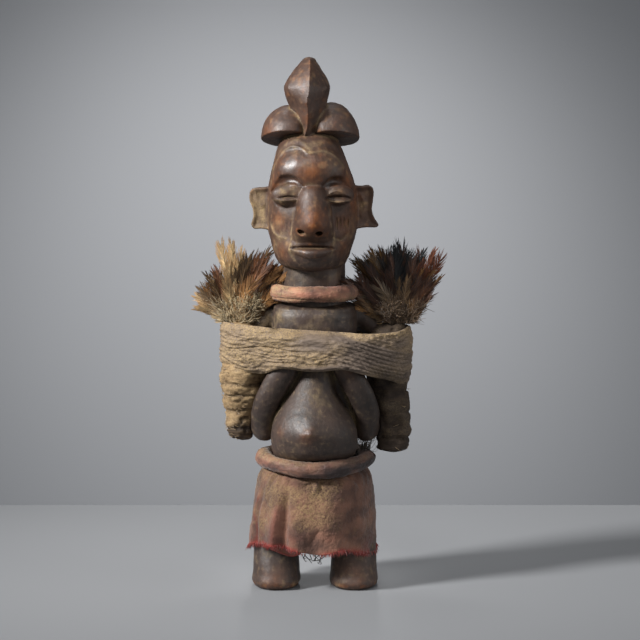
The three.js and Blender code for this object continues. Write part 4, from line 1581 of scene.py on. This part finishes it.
def hair(rng, root, tip, bow, thick, colour, count=6):
    """One loose filament as a thin three-sided tube."""
    s = np.linspace(0, 1, count)[:, None]
    root, tip, bow = (np.array(v, float) for v in (root, tip, bow))
    spine = (1 - s) ** 2 * root + 2 * s * (1 - s) * ((root + tip) / 2 + bow) + s**2 * tip
    along = np.gradient(spine, axis=0)
    along /= np.linalg.norm(along, axis=1, keepdims=True) + 1e-9
    side = np.cross(along, rng.normal(size=3))
    side /= np.linalg.norm(side, axis=1, keepdims=True) + 1e-9
    lift = np.cross(side, along)
    size = thick * np.interp(s[:, 0], [0, 0.7, 1], [1, 0.8, 0.3])[:, None]
    points = [
        spine + size * (side * math.cos(TAU * k / 3) + lift * math.sin(TAU * k / 3)) for k in range(3)
    ]
    number = len(s)
    faces = mesh_grid(3, number, True, False).tolist()
    faces += [[0, number, 2 * number], [3 * number - 1, 2 * number - 1, number - 1]]
    return np.concatenate(points), faces, np.tile(np.array(colour), (3 * number, 1))


def gather(parts):
    """Many small parts as one list of points, faces and colours."""
    points, faces, colours, number = [], [], [], 0
    for some_points, some_faces, some_colours in parts:
        points.append(some_points)
        faces += [[i + number for i in face] for face in some_faces]
        colours.append(some_colours)
        number += len(some_points)
    return np.concatenate(points), faces, np.clip(np.concatenate(colours), 0, 1)


# A feather's colours at its foot, in the middle and at its rim
TINTS = {
    "cream": ("#dcc59b", "#dcbb88", "#b88d5c"),
    "gold": ("#c8a473", "#b3814a", "#83552c"),
    "olive": ("#b4925f", "#6e4f28", "#3b2912"),
    "brown": ("#b6925f", "#774824", "#452712"),
    "orange": ("#c09a6a", "#a36231", "#6d3e1e"),
    "grey": ("#d0b68e", "#a58762", "#765a3e"),
    "ink": ("#7c6040", "#281c13", "#130e0a"),
    "bronze": ("#92744a", "#74501e", "#34230d"),
    "umber": ("#7a5a3c", "#54301a", "#2a180f"),
    "chestnut": ("#866546", "#6e3a1f", "#7c4526"),
    "slate": ("#54473b", "#272829", "#151617"),
    "dun": ("#967954", "#7c5e3c", "#584128"),
    "husk": ("#8a6f52", "#725a3c", "#4a3926"),
}
# A feather: lean in degrees from upright, length, sideways curl, half width, tint
FEATHERS = {
    "left_feathers": [
        (-38, 19, -6, 2.6, "cream"),
        (-36, 25, -6, 3.0, "cream"),
        (-34, 26, -3, 3.8, "grey"),
        (-30, 29, -3, 3.6, "gold"),
        (-20, 30, -1, 3.6, "cream"),
        (-16, 37, -1, 2.4, "brown"),
        (-10, 33, 0, 3.6, "grey"),
        (-6, 36, 0, 3.0, "olive"),
        (-2, 50, 0, 3.8, "cream"),
        (1, 53, 0, 3.6, "cream"),
        (5, 48, 2, 3.2, "olive"),
        (8, 48, 4, 4.0, "olive"),
        (12, 50, 6, 3.8, "olive"),
        (15, 46, 5, 4.0, "brown"),
        (18, 48, 7, 3.8, "brown"),
        (22, 46, 7, 3.6, "gold"),
        (25, 42, 6, 4.4, "orange"),
        (29, 40, 5, 4.4, "orange"),
        (33, 43, 5, 1.6, "ink"),
        (36, 42, 3, 2.6, "gold"),
        (40, 36, 3, 2.6, "ink"),
        (34, 33, 4, 4.4, "gold"),
        (46, 29, 2, 3.6, "grey"),
        (52, 26, 1, 3.0, "cream"),
        (60, 24, 0, 2.6, "ink"),
        (24, 29, 3, 4.8, "cream"),
        (-4, 28, -1, 4.6, "cream"),
        (10, 31, 2, 4.8, "gold"),
    ],
    "right_feathers": [
        (-12, 52, -15, 3.8, "bronze"),
        (-14, 50, -11, 4.0, "bronze"),
        (-17, 46, -9, 3.0, "ink"),
        (-30, 43, -10, 3.8, "umber"),
        (-33, 40, -8, 3.8, "brown"),
        (-37, 38, -5, 3.4, "umber"),
        (-42, 34, -3, 2.6, "ink"),
        (-43, 26, -5, 3.4, "dun"),
        (-22, 42, -6, 4.2, "umber"),
        (-11, 48, -5, 4.4, "bronze"),
        (-7, 50, -4, 4.0, "umber"),
        (-4, 48, 0, 4.4, "umber"),
        (-1, 49, 0, 5.0, "slate"),
        (3, 49, 1, 5.2, "slate"),
        (7, 51, 1, 3.2, "slate"),
        (15, 44, 1, 4.8, "umber"),
        (18, 47, 2, 4.0, "chestnut"),
        (20, 53, 4, 2.4, "chestnut"),
        (22, 43, 3, 2.4, "gold"),
        (22, 34, 2, 4.6, "brown"),
        (22, 34, 2, 3.6, "umber"),
        (26, 30, 0, 3.2, "ink"),
        (29, 22, 0, 3.0, "brown"),
        (8, 32, 0, 2.6, "dun"),
        (-40, 24, -12, 3.8, "gold"),
        (-32, 26, -13, 4.0, "dun"),
        (-24, 27, -9, 4.6, "husk"),
        (-12, 30, -4, 5.0, "husk"),
        (0, 28, 0, 5.0, "husk"),
        (14, 28, 2, 5.0, "brown"),
        (-6, 34, -2, 4.8, "umber"),
    ],
}
# Where a tuft springs from, and the tint of its down
FEATHER_FEET = {
    "left_feathers": (-49, 4, 162.6, "cream"),
    "right_feathers": (52.6, 4.8, 162.2, "husk"),
}
# A puff of down at a tuft's foot: its middle and its reach each way
FLUFF = {
    "left_feathers": ([-39.5, 1, 177], [8, 6, 11]),
    "right_feathers": ([46, 1, 173], [9.5, 7, 11]),
}


def fluff(rng, place, colour, count=1500):
    """Soft curled filaments that spread up and out from a middle."""
    middle, reach = (np.array(v, float) for v in place)
    parts = []
    for _ in range(count):
        out = rng.normal(size=3)
        out /= np.linalg.norm(out)
        out[2] = abs(out[2]) * 1.2 - 0.3
        root = middle + out * reach * rng.uniform(0.1, 0.8) - [0, 0, 3]
        tip = root + out * rng.uniform(3, 6) + [0, 0, 1.5]
        bow = rng.normal(size=3) * 1.4
        parts.append(hair(rng, root, tip, bow, 0.2, colour * rng.uniform(0.6, 1.15), 5))
    return parts


def tuft_piece(node, seed, copies, down=2300):
    """Feathers row behind row, the shorter ones outside, and a skirt of down at the foot."""
    rng = np.random.default_rng(seed)
    x, y, z, down_tint = FEATHER_FEET[node]
    foot_colour = np.array(linear(TINTS[down_tint][0]))
    parts = fluff(rng, FLUFF[node], foot_colour)
    for row in range(copies):
        for lean, length, curl, wide, tint in FEATHERS[node]:
            lean = math.radians(0.84 * lean + rng.uniform(-3, 3) + row * rng.uniform(-6, 6))
            depth = rng.uniform(-1, 1) if row else -0.55 + rng.uniform(-0.3, 0.3)
            grown = length * (rng.uniform(0.9, 1.03) - 0.08 * row * rng.uniform(0, 1.6))
            root = [x + 14 * lean + rng.uniform(-1, 1), y + 5.5 * depth, z + rng.uniform(0, 2)]
            tints = [linear(code) for code in TINTS[tint]]
            facing = np.array([0.3 * rng.normal(), -1, 0.2 * rng.normal()])
            vane = wide * rng.uniform(0.85, 1.1)
            parts.append(feather(rng, root, lean, grown, curl, vane, tints, facing))
    for _ in range(down):
        lean = math.radians(rng.uniform(-40, 44))
        rise = 13 * rng.uniform(0, 1) ** 1.3
        depth = rng.uniform(-1, 1)
        spread = 9 * lean + rise * math.tan(lean) * 0.7
        root = [x + spread + rng.uniform(-1.5, 1.5), y + 6 * depth, z + rise]
        reach = rng.uniform(2.5, 8)
        sway = lean + rng.normal() * 0.5
        tip = [root[0] + reach * math.sin(sway), root[1] + 2 * depth, root[2] + reach * math.cos(sway)]
        colour = foot_colour * rng.uniform(0.5, 1.25)
        parts.append(hair(rng, root, tip, rng.normal(size=3) * 1.2, 0.17, colour, 4))
    # One long filament stands out at the left
    if node == "left_feathers":
        parts.append(hair(rng, [-57, 2, 178], [-73, 0, 189], [0, 0, 2], 0.16, linear(FILAMENT), 12))
    points, faces, colours = gather(parts)
    points[:, 2] = np.maximum(points[:, 2], z - 0.4)
    return add_object(node + "_plumes", points, faces, colours={"tint": colours})


# Skirt


# The skirt's sections, from hem to ring: rise, middle, half width, half depth
SKIRT_SHAPE = [
    [0, -0.9, 40, 35.8],
    [0.25, -0.5, 39.6, 35],
    [0.5, -0.2, 38.6, 34.2],
    [0.75, 0.1, 36.8, 33],
    [0.9, 0.3, 34.8, 31.8],
    [0.96, 0.4, 32.8, 30.6],
    [1, 0.4, 29.6, 27.8],
]
# How high the hem hangs, by turn
SKIRT_HEM = [
    [0, 21.6],
    [0.15, 25],
    [0.3, 22.6],
    [0.42, 25],
    [0.5, 24],
    [0.58, 28.6],
    [0.66, 29.4],
    [0.71, 27],
    [0.76, 24.6],
    [0.82, 26.4],
    [0.9, 23],
]
# A fold: turn, width in turns, how far it stands out at the hem, how sharp its crest is
FOLDS = [
    (0.654, 0.014, 5.4, 1.5),
    (0.636, 0.02, 2.4, 2),
    (0.672, 0.0125, -5.6, 1.8),
    (0.700, 0.026, 2.2, 2),
    (0.595, 0.012, 1.6, 1.6),
    (0.576, 0.008, -2.2, 1.1),
    (0.556, 0.014, 2.2, 1.6),
    (0.75, 0.02, -1.4, 2),
    (0.80, 0.03, 0.8, 2),
    (0.845, 0.02, -1.2, 1.6),
    (0.885, 0.02, 1.0, 1.6),
    (0.93, 0.03, -0.8, 2),
    (0.2, 0.03, 2.6, 1.6),
    (0.26, 0.014, -2.4, 1.3),
    (0.35, 0.03, 2.2, 1.6),
    (0.41, 0.014, -1.8, 1.3),
    (0.06, 0.03, 1.4, 1.6),
]
# Creases that run out from the gathered knot under the ring: turn and rise at both ends, depth
CREASES = [
    (0.732, 0.92, 0.712, 0.86, -1.3),
    (0.742, 0.9, 0.738, 0.8, -1.2),
    (0.764, 0.92, 0.772, 0.82, -1.1),
    (0.752, 0.9, 0.75, 0.84, 2.0),
    (0.728, 0.94, 0.69, 0.94, 0.9),
    (0.77, 0.94, 0.83, 0.9, -1.0),
    (0.62, 0.95, 0.60, 0.75, -0.9),
    (0.86, 0.97, 0.89, 0.84, -1.8),
    (0.70, 0.34, 0.735, 0.12, 1.2),
    (0.76, 0.3, 0.73, 0.05, -1.0),
]
# Where the hem has worn bare: its turn and how wide
BARE_HEM = (0.745, 0.032)
FRINGE_THREADS = 2100
CLOTH_WALL = 1.1
SKIRT_ROUND, SKIRT_DROP = 240, 55
UNDER_RING = 0.2


def skirt_point(turn, rise, inset=0.0):
    """Places on the skirt's outer face, moved in by inset."""
    x, wide, deep = between(SKIRT_SHAPE)(rise).T
    fold = sum(
        out * np.exp(-((np.abs(turn - middle) / (width * (1.25 - 0.5 * rise))) ** sharp))
        for middle, width, out, sharp in FOLDS
    )
    hem = around(SKIRT_HEM)(turn)[:, 0]
    under = belt_height(turn) - WAIST_TUBE - UNDER_RING
    z = hem + (under - hem) * rise
    flat = np.column_stack([turn * SKIRT_ROUND, rise * SKIRT_DROP])
    crease = np.zeros(len(turn))
    for turn_from, rise_from, turn_to, rise_to, depth in CREASES:
        ends = np.array([[turn_from, rise_from], [turn_to, rise_to]]) * [SKIRT_ROUND, SKIRT_DROP]
        gap, place = nearest_on(np.linspace(*ends, 4), flat)
        crease += depth * np.exp(-gap / 3) * (1 - 0.25 * place)
    spot = np.column_stack([38 * np.cos(TAU * turn), 38 * np.sin(TAU * turn), z])
    gathers = 0.45 * np.sin(TAU * turn * 29 + 3 * noise(spot, 20, 1, 61)) * smooth_step(0.78, 1, rise)
    sag = 1.3 * noise(spot, (17, 17, 22), 2, 62) * (1 - 0.5 * rise)
    out = fold * (1 - rise) ** 0.9 * smooth_step(0.95, 0.6, rise) + crease + gathers + sag - 0.7 - inset
    crumb = 0.22 * noise(spot, 1.5, 3, 63) + 0.2 * noise(spot, 6, 2, 64)
    out = out + (crumb if inset == 0 else 0)
    across = x + (wide + out) * np.cos(TAU * turn)
    return np.column_stack([across, WAIST_Y + (deep + out) * np.sin(TAU * turn), z])


def skirt_piece():
    """The cloth as a closed wall, with its crust of dust and its red thread."""
    turns, rises = 480, 90
    turn, rise = np.meshgrid(np.arange(turns) / turns, np.linspace(0, 1, rises), indexing="ij")
    turn, rise = turn.ravel(), rise.ravel()
    outside = skirt_point(turn, rise)
    grid_out = outside.reshape(turns, rises, 3)
    grid_in = skirt_point(turn, rise, CLOTH_WALL).reshape(turns, rises, 3)[:, ::-1]
    points = np.concatenate([grid_out, grid_in], axis=1).reshape(-1, 3)
    faces = mesh_grid(turns, 2 * rises, True, True)
    crust = 0.34 + 0.42 * noise(outside, 12, 2, 65) + 0.3 * noise(outside, 3.4, 3, 66)
    crust += 0.35 * bump_at(turn, 0.735, 0.07) * bump_at(rise, 0.62, 0.3)
    crust += 0.35 * bump_at(turn, 0.62, 0.06) * smooth_step(0.6, 0.95, rise)
    crust -= 0.45 * smooth_step(0.35, 0.05, rise) + 0.45 * smooth_step(0.76, 0.86, turn)
    # Less crust in the fold's valley, which darkens it: painted shade
    crust -= 0.25 * bump_at(turn, 0.66, 0.012) * smooth_step(0.8, 0.5, rise)
    frayed = np.clip(1 - bump_at(turn, *BARE_HEM), 0, 1)
    red = smooth_step(0.075, 0.0, rise) * (0.55 + 0.5 * noise(outside, 4, 2, 67)) * frayed
    # Red along the fold's crest: a painted highlight
    red += 0.16 * bump_at(turn, 0.652, 0.013) * smooth_step(0.75, 0.4, rise)
    seam = 0.566 + 0.008 * np.sin(9 * rise)
    red += 0.25 * bump_at(turn, seam, 0.0035) * smooth_step(0.75, 0.6, rise)
    red += 0.2 * smooth_step(0.35, 0.0, rise) * smooth_step(0.0, 0.8, noise(outside, 9, 2, 69))
    values = {}
    for key, data in (("dust", crust), ("red", red)):
        grid = np.clip(data, 0, 1).reshape(turns, rises)
        values[key] = np.concatenate([grid, 0.6 * grid[:, ::-1]], axis=1).ravel()
    return add_object("skirt_cloth", points, faces, values)


def fringe_piece(rng):
    """Frayed threads along the hem."""
    parts = []
    for turn in rng.uniform(0, 1, FRINGE_THREADS):
        if rng.uniform() < bump_at(turn, *BARE_HEM):
            continue
        spot = skirt_point(np.array([turn, turn]), np.array([0.03, 0.0]), 0.4)
        out = np.array([math.cos(TAU * turn), math.sin(TAU * turn), 0]) * rng.uniform(-0.3, 1.0)
        tip = spot[1] + (out + [0, 0, -1.0]) * rng.uniform(0.5, 2.3) + rng.normal(size=3) * 0.5
        parts.append(hair(rng, spot[0], tip, rng.normal(size=3) * 0.5, 0.17, (1, 1, 1), 4))
    points, faces, _ = gather(parts)
    return add_object("skirt_fringe", points, faces)


def under_layer():
    """The cloth's inner turn, which shows as a second red edge below the first at the viewer's left."""
    columns, rows = 60, 8
    first, last = 0.618, 0.712
    turn, drop = np.meshgrid(np.linspace(first, last, columns), np.linspace(0, 1, rows), indexing="ij")
    turn, drop = turn.ravel(), drop.ravel()
    place = np.clip((turn - first) / (last - first), 0, 1)
    edge = between([[0, 25.6], [0.3, 24], [0.65, 22.2], [1, 23.8]])(place)[:, 0]
    spot = np.column_stack([turn * SKIRT_ROUND, drop * 6, 0 * turn])
    reach = 35.6 - 2.6 * place + 0.9 * noise(spot, 7, 2, 75)
    z = edge + (1 - drop) * 13
    grids = []
    for out in (reach, reach - 0.8):
        across = -0.9 + out * np.cos(TAU * turn)
        sheet = np.column_stack([across, WAIST_Y + (out - 4.4) * np.sin(TAU * turn), z])
        grids.append(sheet.reshape(columns, rows, 3))
    points = np.concatenate([grids[0], grids[1][:, ::-1]], axis=1).reshape(-1, 3)
    lap = 2 * rows
    faces = mesh_grid(columns, lap, False, True).tolist()
    faces += [list(range(lap))[::-1], list(range((columns - 1) * lap, columns * lap))]
    red = smooth_step(0.82, 1, drop).reshape(columns, rows)
    values = {"red": np.concatenate([red, red[:, ::-1]], axis=1).ravel()}
    return add_object("skirt_under_layer", points, faces, values)


def loose_threads(rng):
    """Dark threads that hang from the hem between the legs."""
    parts = []
    for _ in range(9):
        x = rng.uniform(-8, 8)
        root = [x, -32, 25]
        tip = [x + rng.uniform(-9, 5), -32 + rng.uniform(-2, 2), 21 + rng.uniform(-3, 2.5)]
        bow = [rng.normal() * 4, 0, -rng.uniform(1, 6)]
        parts.append(hair(rng, root, tip, bow, 0.36, (1, 1, 1), 14))
    points, faces, _ = gather(parts)
    return add_object("hem_threads", points, faces)


def waist_wisps(rng):
    """A knot of loose fibre caught on the ring at the viewer's right."""
    parts = []
    for _ in range(70):
        root = [31 + rng.uniform(-3, 3), 6 + rng.uniform(-4, 4), 83.5]
        knotted = rng.uniform() < 0.5
        stray = rng.normal(size=3)
        tip = root + stray * [3, 3, 2] + [1, 0, 8]
        if knotted:
            tip = np.array([30, 4, 91]) + stray * [2.2, 2, 2]
        parts.append(hair(rng, root, tip, rng.normal(size=3) * 4, 0.15, (1, 1, 1), 10))
    points, faces, _ = gather(parts)
    return add_object("waist_fibres", points, faces)


def bundle_fibres(rng):
    """Short broken fibres that stand off the bundles and the band."""
    parts = []
    for name, side, count in (("left_bundle", -1, 210), ("right_bundle", 1, 20)):
        at = between(BUNDLES[name])
        for _ in range(count):
            z = rng.uniform(BUNDLES[name][0][0] + 2, 136)
            x, half, front, back = at(np.array([z]))[0]
            angle = rng.uniform(0, TAU)
            away = np.array([side * abs(math.cos(angle)), math.sin(angle), 0])
            depth = (back - front) / 2
            root = np.array([x, front + depth, z]) + away * [half - 0.6, depth - 0.6, 0]
            along = np.cross(away, [0, 0, 1]) * rng.choice([-1, 1])
            tip = root + along * rng.uniform(1.5, 5) + away * rng.uniform(0.4, 2.0)
            tip[2] += rng.normal() * 1.4
            parts.append(hair(rng, root, tip, away * rng.uniform(0, 1.5), 0.13, (1, 1, 1), 5))
    points, faces, _ = gather(parts)
    return add_object("bundle_fibres", points, faces)


# Operators


class PowerFigureSizes(bpy.types.PropertyGroup):
    """Sizes that a user would change."""

    cell: bpy.props.FloatProperty(
        name="Carving cell", description="Grid pitch of the carving", default=0.00135, unit="LENGTH"
    )
    feathers: bpy.props.IntProperty(
        name="Feather rows", description="Rows of feathers in each tuft", default=3, min=1, max=5
    )
    floor: bpy.props.FloatProperty(
        name="Floor half width", description="Half the floor's width", default=2.2, unit="LENGTH"
    )
    floor_back: bpy.props.FloatProperty(
        name="Floor back edge",
        description="How far behind the figure the floor ends",
        default=0.252,
        unit="LENGTH",
    )


def hex_colour(name, description, code):
    """A property that holds a colour as an sRGB hex value."""
    return bpy.props.StringProperty(name=name, description=description, default=code)


class PowerFigureColours(bpy.types.PropertyGroup):
    """Colours that a user would change, as sRGB hex values."""

    wood_dark: hex_colour("Dark wood", "Smoked patina in the shade", "#2b231e")
    wood_mid: hex_colour("Wood", "Patina in the light", "#493931")
    wood_worn: hex_colour("Worn wood", "Wood that hands have rubbed", "#864b1f")
    wood_dust: hex_colour("Wood dust", "Dust kept in the carving's hollows", "#a18a66")
    # Painted shade for the carving's deepest hollows and cuts and its shaded parts
    wood_painted_shade: hex_colour("Wood soot", "Soot in the carving's deepest places", "#17110d")
    clay_dark: hex_colour("Dark clay", "Clay in the creases", "#5e3c31")
    clay_light: hex_colour("Light clay", "Clay rubbed pale", "#b57a60")
    # Painted shade for the rings' undersides and right sides
    clay_painted_shade: hex_colour("Clay soot", "Soot on the rings", "#271815")
    dust: hex_colour("Dust", "Dry tan dust", "#aa9069")
    crust: hex_colour("Crust", "Clay and dust on the skirt", "#8d734e")
    pit: hex_colour("Pits", "Shade between fibres", "#33261b")
    hide_dark: hex_colour("Dark hide", "Wound band in the shade", "#54473d")
    hide_light: hex_colour("Light hide", "Wound band in the light", "#7c6c5f")
    tan_dark: hex_colour("Dark tan wrap", "Left bundle in the shade", "#6c5338")
    tan_light: hex_colour("Light tan wrap", "Left bundle in the light", "#a08560")
    brown_dark: hex_colour("Dark brown wrap", "Right bundle in the shade", "#150d09")
    brown_light: hex_colour("Light brown wrap", "Right bundle in the light", "#2c1d14")
    cloth_dark: hex_colour("Dark cloth", "Skirt in the shade", "#4c3227")
    cloth_light: hex_colour("Light cloth", "Skirt in the light", "#74503f")
    thread_red: hex_colour("Red thread", "Frayed edge", "#84261b")
    thread_black: hex_colour("Black thread", "Threads between the legs", "#15110f")
    knot: hex_colour("Knot", "Fibres caught on the waist ring", "#6b604e")
    floor: hex_colour("Floor", "Studio floor", "#898a8c")
    wall: hex_colour("Wall", "Studio backdrop", "#a6a7aa")


# The floor board's edge, and where the backdrop stands and its lower and upper end
FLOOR_EDGE = 60
WALL_BACK, WALL_ENDS = 3000, (-2450, 3700)


class PowerFigureStage(bpy.types.Operator):
    """Adds the floor, the backdrop, the lights and the camera."""

    bl_idname = "power_figure.stage"
    bl_label = "Stage"

    def execute(self, context):
        sizes, look = context.scene.power_figure_sizes, context.scene.power_figure_colours
        wide, back = sizes.floor / MM, sizes.floor_back / MM
        rows = [(-wide, 0), (back, 0), (back, -FLOOR_EDGE)]
        corners = [[side * wide, y, z] for y, z in rows for side in SIDES]
        floor = add_object("floor", corners, [[0, 1, 3, 2], [2, 3, 5, 4]], smooth=False)
        floor.data.materials.append(painted_board("board_matt_pale", look.floor))
        corners = [[side * wide * 3, WALL_BACK, z] for z in WALL_ENDS for side in SIDES]
        wall = add_object("backdrop", corners, [[0, 1, 3, 2]], smooth=False)
        wall.data.materials.append(painted_board("paper_matt_grey", look.wall))
        add_lights(context)
        add_camera(context)
        return {"FINISHED"}


def aim(name, data, place, target):
    """Sets up a lamp or a camera that looks at a target."""
    thing = bpy.data.objects.new(name, data)
    thing.location = place
    thing.rotation_euler = (Vector(target) - Vector(place)).to_track_quat("-Z", "Y").to_euler()
    bpy.context.scene.collection.objects.link(thing)
    return thing


# A lamp: name, place, what it is aimed at, power, cone in degrees, radius
LAMPS = [
    ("key", (-1.62, -0.855, 1.22), (0, 0, 0.2), 300, 32, 0.2),
    ("front", (-0.1, -0.75, 1.3), (-0.05, 0.06, 0), 33, 24, 0.3),
    ("low", (0.12, -1.7, 0.42), (0, 0, -0.01), 24, 5, 0.05),
    ("behind", (0.01, 0.6, 0.25), (0, 0.005, 0), 15, 9, 0.05),
    ("back", (-0.05, 0.45, 1.1), (-0.05, 0.2, 0), 16, 50, 0.2),
    ("wall_glow", (-0.107, 1.95, 0.324), (-0.107, 3, -0.231), 38, 76, 0.15),
    ("wall_right", (0.178, 1.95, 0.249), (0.178, 3, -0.261), 9, 76, 0.15),
    ("wall_wide", (-0.122, 2.025, 0.429), (-0.122, 3, -0.156), 4.5, 110, 0.15),
]
FILL_PLACE, FILL_TARGET, FILL_SIZE, FILL_POWER = (1.9, -0.7, 0.55), (0, 0, 0.18), 1.0, 7
ROOM_COLOUR, ROOM_STRENGTH = "#c2c6ca", 0.38
CAMERA_PLACE, CAMERA_TARGET = (0.0031, -1.8, 0.402), (0.0031, 0, 0.165)
CAMERA_LENS, CAMERA_SENSOR = 166.2, 36


def add_lights(context):
    """Dim light from all round, spots from the left, behind and on the wall, and a soft fill."""
    room = bpy.data.worlds.new("studio")
    room.use_nodes = True
    light = {"Color": rgba(ROOM_COLOUR), "Strength": ROOM_STRENGTH}
    plug(room.node_tree, room.node_tree.nodes["Background"], light)
    context.scene.world = room
    for name, place, target, power, cone, radius in LAMPS:
        lamp = bpy.data.lights.new(name, "SPOT")
        lamp.energy, lamp.spot_size, lamp.spot_blend = power, math.radians(cone), 1.0
        lamp.shadow_soft_size = radius
        aim(name, lamp, place, target)
    fill = bpy.data.lights.new("fill", "AREA")
    fill.size, fill.energy = FILL_SIZE, FILL_POWER
    aim("fill", fill, FILL_PLACE, FILL_TARGET)


def add_camera(context):
    """The photograph's view: from a little above the figure's middle, through a long lens."""
    data = bpy.data.cameras.new("camera")
    data.lens, data.sensor_width = CAMERA_LENS, CAMERA_SENSOR
    context.scene.camera = aim("camera", data, CAMERA_PLACE, CAMERA_TARGET)
    context.scene.view_settings.view_transform = "Standard"


class PowerFigureCarving(bpy.types.Operator):
    """Adds the carved figure."""

    bl_idname = "power_figure.carving"
    bl_label = "Carving"

    def execute(self, context):
        figure = carve_figure(context.scene.power_figure_sizes.cell / MM)
        dress(figure, patinated_wood(context.scene.power_figure_colours), "patinated_wood", "figure")
        return {"FINISHED"}


class PowerFigureRings(bpy.types.Operator):
    """Adds the cloth rings at the neck and the waist."""

    bl_idname = "power_figure.rings"
    bl_label = "Rings"

    def execute(self, context):
        look = context.scene.power_figure_colours
        cloth = clay_cloth(look)
        for node, turns, laps, shape in (
            ("neck_ring", 300, 56, neck_skin),
            ("waist_ring", 380, 60, waist_skin),
        ):
            ring = ring_piece(node + "_roll", turns, laps, shape)
            dress(ring, cloth, "clay_cloth", node)
        wisps = waist_wisps(np.random.default_rng(29))
        dress(wisps, spun_thread("cotton_fibre_pale", look.knot), "clay_cloth")
        return {"FINISHED"}


class PowerFigureBand(bpy.types.Operator):
    """Adds the band wound round the chest."""

    bl_idname = "power_figure.band"
    bl_label = "Band"

    def execute(self, context):
        look = context.scene.power_figure_colours
        hide = fibre_skin("hide_and_cord_wound", look, look.hide_dark, look.hide_light)
        dress(band_mesh(), hide, "hide_band", "chest_band")
        return {"FINISHED"}


class PowerFigureBundles(bpy.types.Operator):
    """Adds the two wrapped bundles."""

    bl_idname = "power_figure.bundles"
    bl_label = "Bundles"

    def execute(self, context):
        look = context.scene.power_figure_colours
        tan = fibre_skin("bark_fibre_tan_wrapped", look, look.tan_dark, look.tan_light)
        brown = fibre_skin("bark_fibre_brown_wrapped", look, look.brown_dark, look.brown_light)
        left = bundle_piece("left_bundle", -1, (128.2, 120.6, 111, 100), 1.0, 71)
        dress(left, tan, "tan_wrap", "left_bundle")
        right = bundle_piece("right_bundle", 1, (124, 111, 94), 0.22, 81)
        dress(right, brown, "dark_wrap", "right_bundle")
        fibres = bundle_fibres(np.random.default_rng(23))
        dress(fibres, spun_thread("bark_fibre_loose", look.tan_light), "tan_wrap")
        return {"FINISHED"}


class PowerFigureFeathers(bpy.types.Operator):
    """Adds the feather tufts."""

    bl_idname = "power_figure.feathers"
    bl_label = "Feathers"

    def execute(self, context):
        count = context.scene.power_figure_sizes.feathers
        tufts = (("left_feathers", "golden_feather", 5), ("right_feathers", "dark_feather", 9))
        for node, slot, seed in tufts:
            dress(tuft_piece(node, seed, count), feather_vane(slot + "_barbs"), slot, node)
        return {"FINISHED"}


class PowerFigureSkirt(bpy.types.Operator):
    """Adds the skirt and its frayed edge."""

    bl_idname = "power_figure.skirt"
    bl_label = "Skirt"

    def execute(self, context):
        look = context.scene.power_figure_colours
        skirt = dress(skirt_piece(), dusty_cloth(look), "dusty_cloth", "skirt")
        fringe = fringe_piece(np.random.default_rng(17))
        dress(fringe, spun_thread("cotton_thread_red", look.thread_red), "dusty_cloth")
        threads = loose_threads(np.random.default_rng(31))
        dress(threads, spun_thread("cotton_thread_black", look.thread_black), "dusty_cloth")
        layer = dress(under_layer(), dusty_cloth(look), "dusty_cloth")
        return {"FINISHED"}


class PowerFigurePanel(bpy.types.Panel):
    """Lists the sizes, the colours and the steps."""

    bl_idname = "VIEW3D_PT_power_figure"
    bl_label = "Power Figure"
    bl_space_type = "VIEW_3D"
    bl_region_type = "UI"
    bl_category = "Power Figure"

    def draw(self, context):
        for group in (context.scene.power_figure_sizes, context.scene.power_figure_colours):
            for key in group.bl_rna.properties.keys():
                if key not in ("rna_type", "name"):
                    self.layout.prop(group, key)
        for step in STEPS:
            self.layout.operator(step.bl_idname)


STEPS = (
    PowerFigureStage,
    PowerFigureCarving,
    PowerFigureRings,
    PowerFigureBand,
    PowerFigureBundles,
    PowerFigureFeathers,
    PowerFigureSkirt,
)
CLASSES = (PowerFigureSizes, PowerFigureColours, *STEPS, PowerFigurePanel)


def register():
    for item in CLASSES:
        bpy.utils.register_class(item)
    bpy.types.Scene.power_figure_sizes = bpy.props.PointerProperty(type=PowerFigureSizes)
    bpy.types.Scene.power_figure_colours = bpy.props.PointerProperty(type=PowerFigureColours)


def unregister():
    del bpy.types.Scene.power_figure_sizes
    del bpy.types.Scene.power_figure_colours
    for item in reversed(CLASSES):
        bpy.utils.unregister_class(item)


def main():
    register()
    bpy.ops.power_figure.stage()
    bpy.ops.power_figure.carving()
    bpy.ops.power_figure.rings()
    bpy.ops.power_figure.band()
    bpy.ops.power_figure.bundles()
    bpy.ops.power_figure.feathers()
    bpy.ops.power_figure.skirt()


if __name__ == "__main__":
    main()
